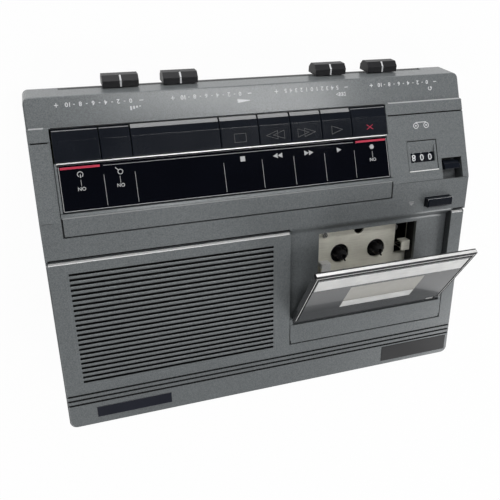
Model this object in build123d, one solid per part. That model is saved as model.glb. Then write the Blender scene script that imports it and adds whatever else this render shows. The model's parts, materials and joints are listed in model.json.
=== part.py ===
from build123d import *
import math
import os

# A desk-top mini cassette player for typing from dictation. Millimetres, X to the right as the
# user sees it, Y to the rear, Z up. The origin is under the middle of the footprint, on the table.

# Housing
WIDTH = 238.0
DEPTH = 170.5
WALL = 2.2
LIP_HEIGHT = 22.0
CONTROL_SLOPE = 27.5
CONTROL_LENGTH = 59.5
DECK_SLOPE = 7.0
STEP_START = 14.55
STEP_RUN = 0.6
STEP_HEIGHT = 1.06
FRONT_CORNER = 3.0
REAR_CORNER = 4.0
EDGE_ROUND = 0.9
COVER_SEAM = 19.65
SEAM_GAP = 1.0
SEAM_CHAMFER_RUN = 1.3
SEAM_CHAMFER_DROP = 1.5
SEAM_LAP = 4.0
LAP_THICKNESS = 1.6
LINE_WIDTH = 0.5
LINE_DEPTH = 0.45
CREASE_LINE = 6.8
GROOVE_COUNT = 3
GROOVE_PITCH = 2.9
GROOVE_MARGIN = 14.7
GROOVE_WIDTH = 0.9
GROOVE_DEPTH = 0.7
FIT_GAP = 0.3

# Bottom case, feet and screws
FOOT_HEIGHT = 3.0
FOOT_RADIUS = 7.0
FOOT_MARGIN = 19.0
FLOOR = 2.2
SPLIT_HEIGHT = 6.6
CASE_INSET = 1.0
RIB_GAP = 0.2
RIB_THICKNESS = 1.2
RIB_HEIGHT = 3.4
BOSS_RADIUS = 3.6
BOSS_MARGIN = 7.6
BOSS_FRONT = 7.5
BOSS_REAR = 10.5
PAD_HEIGHT = 2.0
SCREW_RADIUS = 1.5
SCREW_HEAD_RADIUS = 2.75
SCREW_HEAD_HEIGHT = 1.9
SCREW_LENGTH = 10.0
HEAD_CLEARANCE = 0.35

# Slide controls
POT_MARGIN = 12.95
POT_TRAVEL = 30.0
POT_LENGTH = 45.0
POT_DEPTH = 7.0
POT_HEIGHT = 6.8
POT_SETBACK = 2.2
POT_SLOT_DEPTH = 3.6
SLOT_HEIGHT = 4.0
SLOT_END = 1.7
STEM_WIDTH = 3.6
STEM_HEIGHT = 2.6
STEM_BITE = 3.0
KNOB_WIDTH = 18.0
KNOB_REACH = 6.0
KNOB_HEIGHT = 10.0
KNOB_GAP = 0.6
KNOB_CHAMFER = 2.4
KNOB_OFFSETS = {"backspace_knob": 8.8, "speed_knob": -15.0, "volume_knob": 13.4, "tone_knob": -11.9}

# Control bezel and keys
BEZEL_LEFT_MARGIN = 49.7
BEZEL_RIGHT_MARGIN = 10.3
BEZEL_REACH = 2.2
BEZEL_REAR = 8.1
RIDGE_WALL = 1.9
RAIL_WIDTH = 1.1
SEAT_LEVEL = 0.4
PANEL_THICKNESS = 1.2
TRIM_DEPTH = 1.1
TRIM_HEIGHT = 1.45
FLANGE_WIDTH = 2.5
FLANGE_THICKNESS = 1.4
KEY_SETBACK = 1.0
KEY_DEPTH = 15.9
KEY_GAP = 0.35
KEY_SKIRT = 2.5
KEY_FRONT_LEVEL = 1.5
KEY_NOSE = 1.2
KEY_NOSE_DROP = 0.9
KEY_CREASE_LEVEL = 2.5
KEY_REAR_LEVEL = 1.75
KEY_CREASE = 6.05
KEY_TRAVEL = 1.8
KEY_EDGE = 0.3
ERASE_WIDTH = 21.6
TRANSPORT_WIDTH = 17.7
STOP_WIDTH = 20.7
SEARCH_WIDTH = 15.0
POWER_WIDTH = 22.0
PLUNGER = 0.7
PLUNGER_SIDE = 3.0
SWITCH_SIDE = 6.0
SWITCH_HEIGHT = 3.8
BOARD = 1.6
POST_RADIUS = 2.0
POST_INSET = 3.0

# Tape counter, reset and eject buttons
COUNTER_LEFT = 19.3
COUNTER_WIDTH = 19.1
COUNTER_BEHIND = 5.3
COUNTER_DEPTH = 17.7
COUNTER_PROUD = 0.2
DIGIT_LEFT = 2.0
DIGIT_FRONT = 7.0
DIGIT_WINDOW = 5.4
DIGIT_PITCH = 5.2
DIGIT_GAP = 0.35
DIGIT_SINK = 0.8
DIGIT_SLOPE = 4.6
DIGIT_SLOPE_DROP = 1.0
WHEEL_RADIUS = 7.0
COUNTER_SHAFT_RADIUS = 1.2
BRACKET = 1.2
BRACKET_LAP = 2.3
RESET_LEFT = 3.9
RESET_WIDTH = 13.2
RESET_BEHIND = 11.6
RESET_DEPTH = 12.0
RESET_SINK = 7.0
RESET_WALL = 1.4
RESET_TRAVEL = 1.8
RESET_CAP_SETBACK = 1.2
RESET_CAP_WIDTH = 10.0
RESET_CAP_DEPTH = 5.2
RESET_SLOPE = 2.1
EJECT_LEFT = 11.7
EJECT_WIDTH = 16.2
EJECT_FRONT = 10.4
EJECT_DEPTH = 5.0
EJECT_PROUD = 3.8
EJECT_TRAVEL = 2.0

# Cassette door, dish and well
LEFT_STRIP = 8.8
DOOR_WIDTH = 97.0
DOOR_LENGTH = 52.5
DOOR_THICKNESS = 3.0
DOOR_SIDE_GAP = 2.35
DOOR_SETBACK = 4.6
DOOR_OPEN = 35.5
DISH_DEPTH = 4.5
SCOOP_LEAD = 1.15
SCOOP_RUN = 6.0
HINGE_PANEL = 14.9
PIN_RADIUS = 0.8
KNUCKLE_CLEARANCE = 0.15
SPRING_WIRE = 0.3
SPRING_TURNS = 9
SPRING_NOTCH = 6.4
WINDOW_WIDTH = 46.0
WINDOW_NEAR = 11.8
WINDOW_FAR = 34.8
WINDOW_THICKNESS = 1.4
WINDOW_LEDGE = 1.6
LABEL_WIDTH = 92.0
LABEL_NEAR = 36.6
LABEL_FAR = 47.2
LABEL_THICKNESS = 0.4
DOOR_TRIM = 2.4
WELL_WIDTH = 62.6
WELL_SHIFT = 0.65
WELL_SETBACK = 6.15
WELL_LENGTH = 46.2
WELL_WALL = 1.6
WELL_FLANGE = 4.0

# Tape mechanism
PLATE_DROP = 14.0
PLATE = 1.2
PLATE_MARGIN = 6.0
SPINDLE_SHIFT = 1.95
SPINDLE_PITCH = 24.0
SPINDLE_SETBACK = 18.0
SPINDLE_HOLE = 5.75
SPINDLE_HUB = 3.1
SPINDLE_FIN = 4.5
SPINDLE_TOP = 5.4
REEL_RADIUS = 9.0
REEL_THICKNESS = 3.4
AXLE_RADIUS = 1.2
AXLE_CLEARANCE = 0.15
CHASSIS_DROP = 12.0
PILLAR_RADIUS = 2.0
DRIVE_DISTANCE = 22.2
DRIVE_RADIUS = 13.0
DRIVE_HUB = 4.0
DRIVE_NECK = 2.4
IDLER_RADIUS = 6.2
ROLL_GAP = 0.15
LAYER_GAP = 0.3
ARM_THICKNESS = 0.8
PULLEY_THICKNESS = 3.5
PULLEY_FLANGE = 1.0
MOTOR_SIDE = 38.0
MOTOR_FORWARD = 4.0
MOTOR_RADIUS = 12.0
MOTOR_LENGTH = 18.0
MOTOR_CHAMFER = 1.3
MOTOR_PULLEY = 3.0
BELT = 1.3
LEVER_WIDTH = 4.0
LEVER_SHEET = 0.8
LEVER_NOTCH = 8.0
LEVER_BACK = 18.7
LEVER_RISE = 5.5
LEVER_DROP = 4.0
CARRIAGE_WIDTH = 32.0
CARRIAGE_DEPTH = 8.6
CARRIAGE_SETBACK = 1.0
HEAD_WIDTH = 12.0
HEAD_DEPTH = 6.5
HEAD_HEIGHT = 6.0
ERASE_HEAD_WIDTH = 6.0

# Speaker and grille
GRILLE_GAP = 9.9
GRILLE_RIGHT_MARGIN = 10.0
GRILLE_FRONT_MARGIN = 6.3
GRILLE_REAR_MARGIN = 27.5
GRILLE_PITCH = 2.86
SLOT_WIDTH = 1.35
GRILLE_BORDER = 1.5
CLOTH = 0.6
SPEAKER_MARGIN = 1.3
SPEAKER_DEPTH = 16.0
SPEAKER_SHEET = 1.2
SPEAKER_TAPER = 14.0
SPEAKER_RIM = 6.0
CONE_SHEET = 0.8
CONE_THROAT = 8.0
MAGNET_RADIUS = 16.0
MAGNET_THICKNESS = 9.0

# Circuit board and sockets
MAIN_BOARD_LEVEL = 9.0
MAIN_BOARD_LEFT = 8.0
MAIN_BOARD_MARGIN = 12.0
MAIN_BOARD_DEPTH = 96.0
BOARD_POST_RADIUS = 3.0
CAPACITOR_RADIUS = 4.0
JACK_RISE = 6.0
JACK_SPACING = 24.0
JACK_MARGIN = 28.0
JACK_BODY = 12.0
JACK_DEPTH = 13.0
JACK_BORES = {"earphone_jack": 1.8, "foot_control_jack": 4.6, "dc_jack": 2.8}
JACK_WALL = 1.4
JACK_BORE_DEPTH = 10.0
SOCKET_PLATE_MARGIN = 11.0
SOCKET_PLATE_HEIGHT = 14.8
SOCKET_PLATE_LAP = 1.6

# Worked-out places
LEFT = -WIDTH / 2
RIGHT = WIDTH / 2
LIP_Y = (KNOB_REACH - DEPTH) / 2
REAR_Y = LIP_Y + DEPTH
FLOOR_TOP = FOOT_HEIGHT + FLOOR
PAD_TOP = FLOOR_TOP + PAD_HEIGHT
CONTROL_ANGLE = math.radians(CONTROL_SLOPE)
DECK_ANGLE = math.radians(DECK_SLOPE)
FOLD_ANGLE = CONTROL_ANGLE - DECK_ANGLE


def control_point(along, above):
    """Side-view place (y, z) of a point on the sloped control front, counted from the lip."""
    y = LIP_Y + along * math.cos(CONTROL_ANGLE) - above * math.sin(CONTROL_ANGLE)
    z = LIP_HEIGHT + along * math.sin(CONTROL_ANGLE) + above * math.cos(CONTROL_ANGLE)
    return (y, z)


FOLD_Y, FOLD_Z = control_point(CONTROL_LENGTH, STEP_HEIGHT)


def deck_point(along, above):
    """Side-view place (y, z) of a point on the top deck, counted from the fold."""
    y = FOLD_Y + along * math.cos(DECK_ANGLE) - above * math.sin(DECK_ANGLE)
    z = FOLD_Z + along * math.sin(DECK_ANGLE) + above * math.cos(DECK_ANGLE)
    return (y, z)


control = Location((0, LIP_Y, LIP_HEIGHT), (CONTROL_SLOPE, 0, 0))
deck = Location((0, FOLD_Y, FOLD_Z), (DECK_SLOPE, 0, 0))

DECK_LENGTH = (REAR_Y - FOLD_Y) / math.cos(DECK_ANGLE)
REAR_START = COVER_SEAM + SEAM_GAP
SKIN = STEP_HEIGHT - WALL
UNDER_DECK = -WALL

BEZEL_LEFT = LEFT + BEZEL_LEFT_MARGIN
BEZEL_RIGHT = RIGHT - BEZEL_RIGHT_MARGIN
KEY_FRONT = STEP_START + KEY_SETBACK
KEY_REAR = KEY_FRONT + KEY_DEPTH
TRIM_FRONT = KEY_REAR + KEY_GAP
PANEL_FRONT = TRIM_FRONT + TRIM_DEPTH
RIDGE_ALONG = CONTROL_LENGTH - BEZEL_REACH * math.cos(FOLD_ANGLE)
PANEL_REAR = RIDGE_ALONG - RIDGE_WALL
PANEL_TOP = SEAT_LEVEL + PANEL_THICKNESS
PLUNGER_BOTTOM = -KEY_SKIRT - PLUNGER
SWITCH_TOP = PLUNGER_BOTTOM - KEY_TRAVEL - FIT_GAP
BOARD_TOP = SWITCH_TOP - SWITCH_HEIGHT
BOARD_FRONT = KEY_FRONT - 2 * POST_INSET
BOARD_REAR = PANEL_FRONT + 2 * POST_INSET

DISH_LEFT = LEFT + LEFT_STRIP
DISH_RIGHT = DISH_LEFT + DOOR_WIDTH + 2 * DOOR_SIDE_GAP
DISH_MIDDLE = (DISH_LEFT + DISH_RIGHT) / 2
DOOR_LEFT = DISH_LEFT + DOOR_SIDE_GAP
DOOR_RIGHT = DOOR_LEFT + DOOR_WIDTH
DOOR_FRONT = COVER_SEAM + DOOR_SETBACK
HINGE_ALONG = DOOR_FRONT + DOOR_LENGTH
HINGE_LEVEL = -DOOR_THICKNESS / 2
KNUCKLE_RADIUS = DOOR_THICKNESS / 2
HINGE_FRONT = HINGE_ALONG + KNUCKLE_RADIUS + 2 * FIT_GAP
HINGE_REAR = HINGE_ALONG + HINGE_PANEL
SCOOP_START = COVER_SEAM - SCOOP_LEAD
DISH_UNDER = -DISH_DEPTH - WALL

WELL_MIDDLE = DISH_MIDDLE + WELL_SHIFT
WELL_LEFT = WELL_MIDDLE - WELL_WIDTH / 2
WELL_RIGHT = WELL_MIDDLE + WELL_WIDTH / 2
WELL_FRONT = COVER_SEAM + WELL_SETBACK
WELL_REAR = WELL_FRONT + WELL_LENGTH

PLATE_TOP = -PLATE_DROP
PLATE_UNDER = PLATE_TOP - PLATE
CHASSIS_TOP = PLATE_TOP - CHASSIS_DROP
SPINDLE_MIDDLE = DISH_MIDDLE + SPINDLE_SHIFT
SPINDLE_ALONG = WELL_FRONT + SPINDLE_SETBACK
SUPPLY_X = SPINDLE_MIDDLE - SPINDLE_PITCH / 2
TAKE_UP_X = SPINDLE_MIDDLE + SPINDLE_PITCH / 2
DRIVE_ALONG = SPINDLE_ALONG + DRIVE_DISTANCE
ROLL_TOP = PLATE_UNDER - 6 * LAYER_GAP
ROLL_UNDER = ROLL_TOP - REEL_THICKNESS
ARM_TOP = ROLL_UNDER - LAYER_GAP
ARM_UNDER = ARM_TOP - ARM_THICKNESS
PULLEY_TOP = ARM_UNDER - LAYER_GAP
PULLEY_UNDER = PULLEY_TOP - PULLEY_THICKNESS
ARM_LENGTH = DRIVE_HUB + IDLER_RADIUS + ROLL_GAP
IDLER_ALONG = DRIVE_ALONG - ARM_LENGTH
MOTOR_X = SPINDLE_MIDDLE + MOTOR_SIDE
MOTOR_ALONG = DRIVE_ALONG - MOTOR_FORWARD
CHASSIS_UNDER = CHASSIS_TOP - PLATE
LEVER_X = WELL_LEFT + LEVER_NOTCH / 2
LEVER_ALONG = WELL_FRONT + LEVER_BACK
LEVER_LEVEL = PLATE_TOP - LEVER_DROP
CARRIAGE_REAR = WELL_REAR - CARRIAGE_SETBACK
CARRIAGE_FRONT = CARRIAGE_REAR - CARRIAGE_DEPTH

GRILLE_LEFT = DISH_RIGHT + GRILLE_GAP
GRILLE_RIGHT = RIGHT - GRILLE_RIGHT_MARGIN
GRILLE_FRONT = REAR_START + GRILLE_FRONT_MARGIN
GRILLE_REAR = DECK_LENGTH - GRILLE_REAR_MARGIN
SPEAKER_X = (GRILLE_LEFT + GRILLE_RIGHT) / 2
SPEAKER_ALONG = (GRILLE_FRONT + GRILLE_REAR) / 2
SPEAKER_RADIUS = min(GRILLE_RIGHT - GRILLE_LEFT, GRILLE_REAR - GRILLE_FRONT) / 2 - SPEAKER_MARGIN
SPEAKER_BACK = SPEAKER_RADIUS - SPEAKER_TAPER
CLOTH_UNDER = UNDER_DECK - CLOTH

STEM_LEVEL = SPLIT_HEIGHT + SLOT_HEIGHT / 2
POT_FRONT = LIP_Y + WALL + POT_SETBACK
POT_PITCH = (WIDTH - 2 * POT_MARGIN - POT_LENGTH) / (len(KNOB_OFFSETS) - 1)
POT_FIRST = LEFT + POT_MARGIN + POT_LENGTH / 2
POT_CENTRES = [POT_FIRST + index * POT_PITCH for index in range(len(KNOB_OFFSETS))]
SLOT_RIGHT = POT_CENTRES[-1] + (POT_TRAVEL + STEM_WIDTH) / 2 + SLOT_END

COUNTER_X0 = LEFT + COUNTER_LEFT
COUNTER_X1 = COUNTER_X0 + COUNTER_WIDTH
DIGIT_X0 = COUNTER_X0 + DIGIT_LEFT
DIGIT_X1 = DIGIT_X0 + 3 * DIGIT_PITCH
COUNTER_FRONT = CONTROL_LENGTH - COUNTER_BEHIND - COUNTER_DEPTH
DIGIT_MIDDLE = COUNTER_FRONT + DIGIT_FRONT + DIGIT_WINDOW / 2
COUNTER_AXIS_LEVEL = STEP_HEIGHT - DIGIT_SINK - WHEEL_RADIUS
RESET_X0 = LEFT + RESET_LEFT
RESET_FRONT = CONTROL_LENGTH - RESET_BEHIND
EJECT_X0 = LEFT + EJECT_LEFT

MAIN_BOARD_TOP = MAIN_BOARD_LEVEL + BOARD
MAIN_BOARD_REAR = REAR_Y - WALL - RIB_GAP - RIB_THICKNESS - FIT_GAP
JACK_LEVEL = MAIN_BOARD_TOP + JACK_RISE
BOSS_ROWS = (LIP_Y + BOSS_FRONT, REAR_Y - BOSS_REAR)
BOSS_PLACES = [(x, y) for x in (LEFT + BOSS_MARGIN, RIGHT - BOSS_MARGIN) for y in BOSS_ROWS]


def block(x0, x1, y0, y1, z0, z1):
    """Box between two corners."""
    return Pos((x0 + x1) / 2, (y0 + y1) / 2, (z0 + z1) / 2) * Box(x1 - x0, y1 - y0, z1 - z0)


def rod(x, y, z0, z1, radius):
    """Upright round bar."""
    return Pos(x, y, (z0 + z1) / 2) * Cylinder(radius, z1 - z0)


def cross_rod(x0, x1, y, z, radius):
    """Round bar along X."""
    return Pos((x0 + x1) / 2, y, z) * Rot(0, 90, 0) * Cylinder(radius, x1 - x0)


def bar(points, x0, x1):
    """Solid with one side profile of (y, z) points from x0 to x1."""
    face = make_face(Polyline(*points, close=True))
    return extrude(Plane.YZ.offset(x0) * face, amount=x1 - x0)


def front_outline(inset, over):
    """Side view of the front cover, stepped in by a wall and run past its open ends."""
    lip_along = inset * (1 - math.sin(CONTROL_ANGLE)) / math.cos(CONTROL_ANGLE)
    fold_along = CONTROL_LENGTH - inset * math.tan(FOLD_ANGLE / 2)
    rear_y, rear_z = deck_point(COVER_SEAM + over, -inset)
    base = SPLIT_HEIGHT - over
    return [
        (LIP_Y + inset, base),
        control_point(lip_along, -inset),
        control_point(STEP_START + inset / 2, -inset),
        control_point(STEP_START + STEP_RUN + inset / 2, STEP_HEIGHT - inset),
        control_point(fold_along, STEP_HEIGHT - inset),
        (rear_y, rear_z),
        (rear_y, base),
    ]


def rear_outline(inset, over):
    """Side view of the rear cover, stepped in by a wall and run past its open ends."""
    front_y, front_z = deck_point(REAR_START - over, -inset)
    rear_y = REAR_Y - inset
    rear_along = (rear_y - FOLD_Y - inset * math.sin(DECK_ANGLE)) / math.cos(DECK_ANGLE)
    base = SPLIT_HEIGHT - over
    return [(front_y, base), (front_y, front_z), deck_point(rear_along, -inset), (rear_y, base)]


def upright_edges(solid, y):
    """Upright edges of a block that stand at one depth."""
    return [edge for edge in solid.edges().filter_by(Axis.Z) if abs(edge.center().Y - y) < 0.01]


def edges_at(solid, *places):
    """Edges along X whose side-view place is one of those given."""
    found = []
    for edge in solid.edges().filter_by(Axis.X):
        centre = edge.center()
        if any(math.dist((centre.Y, centre.Z), place) < 0.01 for place in places):
            found.append(edge)
    return found


def cover_bosses(outer, row):
    """Screw posts that hang inside a cover, cut to the shape of its skin."""
    posts = []
    for x, y in BOSS_PLACES:
        if y == row:
            post = rod(x, y, PAD_TOP, FOLD_Z + DEPTH, BOSS_RADIUS) & outer
            posts.append(post - rod(x, y, PAD_TOP, PAD_TOP + SCREW_LENGTH, SCREW_RADIUS))
    return posts


def make_front_cover():
    outer = bar(front_outline(0, 0), LEFT, RIGHT)
    outer = fillet(upright_edges(outer, LIP_Y), FRONT_CORNER)
    outer = fillet(edges_at(outer, (LIP_Y, LIP_HEIGHT)), EDGE_ROUND)
    cover = outer - bar(front_outline(WALL, 2 * WALL), LEFT + WALL, RIGHT - WALL)
    for post in cover_bosses(outer, BOSS_ROWS[0]):
        cover += post

    # The dish under the door: the deck rolls down to a floor with the cassette opening in it.
    dish_x0 = DISH_LEFT + FIT_GAP
    dish_x1 = DISH_RIGHT - FIT_GAP
    cover -= deck * block(dish_x0, dish_x1, SCOOP_START, COVER_SEAM + WALL, -3 * WALL, WALL)
    cover += deck * make_dish(dish_x0, dish_x1)

    # Laps that back the seam to the rear cover, under the deck and inside the side walls.
    lap_front = COVER_SEAM - SEAM_LAP
    lap_rear = REAR_START + SEAM_CHAMFER_RUN + SEAM_LAP
    lap_under = UNDER_DECK - LAP_THICKNESS
    side_lap = WALL + LAP_THICKNESS
    lap_y0 = deck_point(lap_front, 0)[0]
    lap_y1 = deck_point(lap_rear, 0)[0]
    lap_top = deck_point(lap_front, UNDER_DECK - LAP_THICKNESS / 2)[1]
    lap_x0 = DISH_RIGHT + 2 * LAP_THICKNESS
    cover += deck * block(lap_x0, RIGHT - WALL, lap_front, lap_rear, lap_under, UNDER_DECK)
    for x0, x1 in ((LEFT + WALL, LEFT + side_lap), (RIGHT - side_lap, RIGHT - WALL)):
        cover += block(x0, x1, lap_y0, lap_y1, SPLIT_HEIGHT + RIB_HEIGHT + FIT_GAP, lap_top)

    # Openings: slide controls, keys and bezel, counter, reset pocket and eject button.
    cover -= block(-SLOT_RIGHT, SLOT_RIGHT, LIP_Y - WALL, LIP_Y + 2 * WALL, 0, SPLIT_HEIGHT + SLOT_HEIGHT)
    key_x0 = BEZEL_LEFT - FIT_GAP
    key_x1 = BEZEL_RIGHT + FIT_GAP
    cover -= control * block(key_x0, key_x1, KEY_FRONT - KEY_GAP, CONTROL_LENGTH + WALL, -3 * WALL, 3 * WALL)
    cover -= deck * block(key_x0, key_x1, -2 * WALL, BEZEL_REAR + FIT_GAP, -3 * WALL, 3 * WALL)
    counter_rear = COUNTER_FRONT + COUNTER_DEPTH
    cover -= control * block(COUNTER_X0, COUNTER_X1, COUNTER_FRONT, counter_rear, -2 * WALL, 2 * WALL)
    cover = cut_reset_pocket(cover)
    eject_hole = block(
        EJECT_X0 - FIT_GAP, EJECT_X0 + EJECT_WIDTH + FIT_GAP,
        EJECT_FRONT - FIT_GAP, EJECT_FRONT + EJECT_DEPTH + FIT_GAP, -2 * WALL, WALL)
    cover -= deck * eject_hole

    # Fine lines that carry on the crease of the keys to both sides.
    line_front = STEP_START + CREASE_LINE
    for x0, x1 in ((LEFT - 1, BEZEL_LEFT), (BEZEL_RIGHT, RIGHT + 1)):
        line = block(x0, x1, line_front, line_front + LINE_WIDTH, STEP_HEIGHT - LINE_DEPTH, STEP_HEIGHT + 1)
        cover -= control * line

    # Posts for the front edge of the key board.
    for x in (BEZEL_LEFT + 2 * POST_INSET, 0, BEZEL_RIGHT - 2 * POST_INSET):
        cover += control * rod(x, BOARD_FRONT + POST_INSET, BOARD_TOP, -WALL / 2, POST_RADIUS)
    return cover


def make_dish(x0, x1):
    """Rolled tongue of the front cover that passes under the door."""
    scoop_end = SCOOP_START + SCOOP_RUN
    dish_end = HINGE_REAR - FIT_GAP
    level = (1, 0)
    top = Spline((SCOOP_START, 0), (scoop_end, -DISH_DEPTH), tangents=[level, level])
    under = Spline((SCOOP_START, UNDER_DECK), (scoop_end, DISH_UNDER), tangents=[level, level])
    sides = [
        Line((scoop_end, -DISH_DEPTH), (dish_end, -DISH_DEPTH)),
        Line((dish_end, -DISH_DEPTH), (dish_end, DISH_UNDER)),
        Line((dish_end, DISH_UNDER), (scoop_end, DISH_UNDER)),
        Line((SCOOP_START, UNDER_DECK), (SCOOP_START, 0)),
    ]
    face = make_face([top, under, *sides])
    tongue = extrude(Plane.YZ.offset(x0) * face, amount=x1 - x0)
    return tongue - block(WELL_LEFT, WELL_RIGHT, WELL_FRONT, WELL_REAR, 2 * DISH_UNDER, 0)


def cut_reset_pocket(cover):
    """Adds the walls of the reset button's pocket and cuts it out."""
    x1 = RESET_X0 + RESET_WIDTH
    rear = RESET_FRONT + RESET_DEPTH
    floor = STEP_HEIGHT - RESET_SINK
    cover += control * block(
        RESET_X0 - RESET_WALL, x1 + RESET_WALL, RESET_FRONT - RESET_WALL, rear + RESET_WALL,
        floor - RESET_WALL, SKIN + WALL / 4)
    cover -= control * block(RESET_X0, x1, RESET_FRONT, rear, floor, 2 * WALL)
    stem_x, stem_along = reset_stem_place()
    hole = PLUNGER_SIDE / 2 + FIT_GAP
    return cover - control * block(
        stem_x - hole, stem_x + hole, stem_along - hole, stem_along + hole, floor - 2 * RESET_WALL, floor + 1)


def reset_stem_place():
    """Middle of the reset button, seen along the control front."""
    return RESET_X0 + RESET_WIDTH / 2, RESET_FRONT + RESET_CAP_SETBACK + RESET_CAP_DEPTH / 2


def make_reset_button():
    x, along = reset_stem_place()
    front = along - RESET_CAP_DEPTH / 2
    rear = along + RESET_CAP_DEPTH / 2
    under = STEP_HEIGHT - RESET_SINK + RESET_TRAVEL + FIT_GAP
    profile = [
        (front, under),
        (front, STEP_HEIGHT - WALL),
        (front + RESET_SLOPE, STEP_HEIGHT),
        (rear, STEP_HEIGHT + EDGE_ROUND),
        (rear, under),
    ]
    half = PLUNGER_SIDE / 2
    stem_under = STEP_HEIGHT - RESET_SINK - RESET_WALL - RESET_TRAVEL
    stem = block(x - half, x + half, along - half, along + half, stem_under, under)
    return control * (bar(profile, x - RESET_CAP_WIDTH / 2, x + RESET_CAP_WIDTH / 2) + stem)


def make_eject_button():
    x1 = EJECT_X0 + EJECT_WIDTH
    rear = EJECT_FRONT + EJECT_DEPTH
    cap = block(EJECT_X0, x1, EJECT_FRONT, rear, UNDER_DECK - EJECT_TRAVEL, EJECT_PROUD)
    cap = chamfer(cap.edges().group_by(Axis.Z)[-1], KEY_EDGE * 2)
    top = UNDER_DECK - FIT_GAP
    stop = block(EJECT_X0 - WALL, x1 + WALL, EJECT_FRONT, rear, top - WALL, top)
    return deck * (cap + stop)


def make_rear_cover():
    outline = rear_outline(0, 0)
    seam_edge = deck_point(REAR_START, -SEAM_CHAMFER_DROP)
    seam_top = deck_point(REAR_START + SEAM_CHAMFER_RUN, 0)
    outer = bar([(seam_edge[0], SPLIT_HEIGHT), seam_edge, seam_top, *outline[2:]], LEFT, RIGHT)
    outer = fillet(upright_edges(outer, REAR_Y), REAR_CORNER)
    outer = fillet(edges_at(outer, outline[2]), EDGE_ROUND)
    cover = outer - bar(rear_outline(WALL, 2 * WALL), LEFT + WALL, RIGHT - WALL)
    for post in cover_bosses(outer, BOSS_ROWS[1]):
        cover += post

    # The opening over the dish, with a skirt down each side of it.
    opening_front = COVER_SEAM - WALL
    cover -= deck * block(DISH_LEFT, DISH_RIGHT, opening_front, HINGE_REAR, -2 * WALL, 2 * WALL)
    skirt_front = REAR_START + SEAM_CHAMFER_RUN
    for x0, x1 in ((DISH_LEFT - LAP_THICKNESS, DISH_LEFT), (DISH_RIGHT, DISH_RIGHT + LAP_THICKNESS)):
        cover += deck * block(x0, x1, skirt_front, HINGE_REAR, DISH_UNDER, UNDER_DECK / 2)

    # The opening that the grille fills, and the three lines across the rear of the deck.
    cover -= deck * grille_block(-2 * WALL, 2 * WALL)
    for index in range(GROOVE_COUNT):
        middle = DECK_LENGTH - GROOVE_MARGIN - index * GROOVE_PITCH
        groove = block(
            LEFT - 1, RIGHT + 1, middle - GROOVE_WIDTH / 2, middle + GROOVE_WIDTH / 2, -GROOVE_DEPTH, 1)
        cover -= deck * groove

    # The opening for the socket plate in the rear wall.
    x0, x1, z0, z1 = socket_plate_span()
    return cover - block(x0, x1, REAR_Y - 2 * WALL, REAR_Y + 1, z0, z1)


def grille_block(z0, z1):
    """The grille's own outline as a block, in the frame of the deck."""
    return block(
        GRILLE_LEFT - GRILLE_BORDER, GRILLE_RIGHT + GRILLE_BORDER,
        GRILLE_FRONT - GRILLE_BORDER, GRILLE_REAR + GRILLE_BORDER, z0, z1)


def make_grille():
    grille = grille_block(UNDER_DECK, 0)
    count = int((GRILLE_REAR - GRILLE_FRONT - SLOT_WIDTH) / GRILLE_PITCH) + 1
    first = SPEAKER_ALONG - (count - 1) * GRILLE_PITCH / 2
    slots = []
    for index in range(count):
        middle = first + index * GRILLE_PITCH
        slot = block(
            GRILLE_LEFT, GRILLE_RIGHT, middle - SLOT_WIDTH / 2, middle + SLOT_WIDTH / 2, UNDER_DECK - 1, 1)
        slots.append(slot)
    return deck * (grille - slots)


def make_speaker():
    """Cloth, basket, cone and magnet on one axis under the grille."""
    axis = deck * Pos(SPEAKER_X, SPEAKER_ALONG, 0)
    rim_under = CLOTH_UNDER - SPEAKER_SHEET
    back = rim_under - SPEAKER_DEPTH
    rim_inner = SPEAKER_RADIUS - SPEAKER_RIM
    basket = [
        (rim_inner, CLOTH_UNDER),
        (SPEAKER_RADIUS, CLOTH_UNDER),
        (SPEAKER_RADIUS, rim_under),
        (SPEAKER_BACK, back),
        (CONE_THROAT, back),
        (CONE_THROAT, back + SPEAKER_SHEET),
        (SPEAKER_BACK - SPEAKER_SHEET / 2, back + SPEAKER_SHEET),
        (SPEAKER_RADIUS - 2 * SPEAKER_SHEET, rim_under),
        (rim_inner, rim_under),
    ]
    throat = back + 3 * SPEAKER_SHEET
    surround = rim_inner + SPEAKER_SHEET
    cone = [
        (rim_inner - SPEAKER_SHEET, rim_under),
        (surround, rim_under),
        (surround, rim_under - CONE_SHEET),
        (rim_inner - SPEAKER_SHEET, rim_under - CONE_SHEET),
        (CONE_THROAT, throat),
        (0, throat),
        (0, throat + CONE_SHEET),
        (CONE_THROAT, throat + CONE_SHEET),
    ]
    cloth = block(GRILLE_LEFT, GRILLE_RIGHT, GRILLE_FRONT, GRILLE_REAR, CLOTH_UNDER, UNDER_DECK)
    magnet = rod(0, 0, back - MAGNET_THICKNESS, back, MAGNET_RADIUS)
    return {
        "speaker_cloth": deck * cloth,
        "speaker_frame": axis * turned(basket),
        "speaker_cone": axis * turned(cone),
        "speaker_magnet": axis * magnet,
    }


def turned(points):
    """Solid of revolution about Z from (radius, height) points."""
    return revolve(Plane.XZ * make_face(Polyline(*points, close=True)), Axis.Z)


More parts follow.
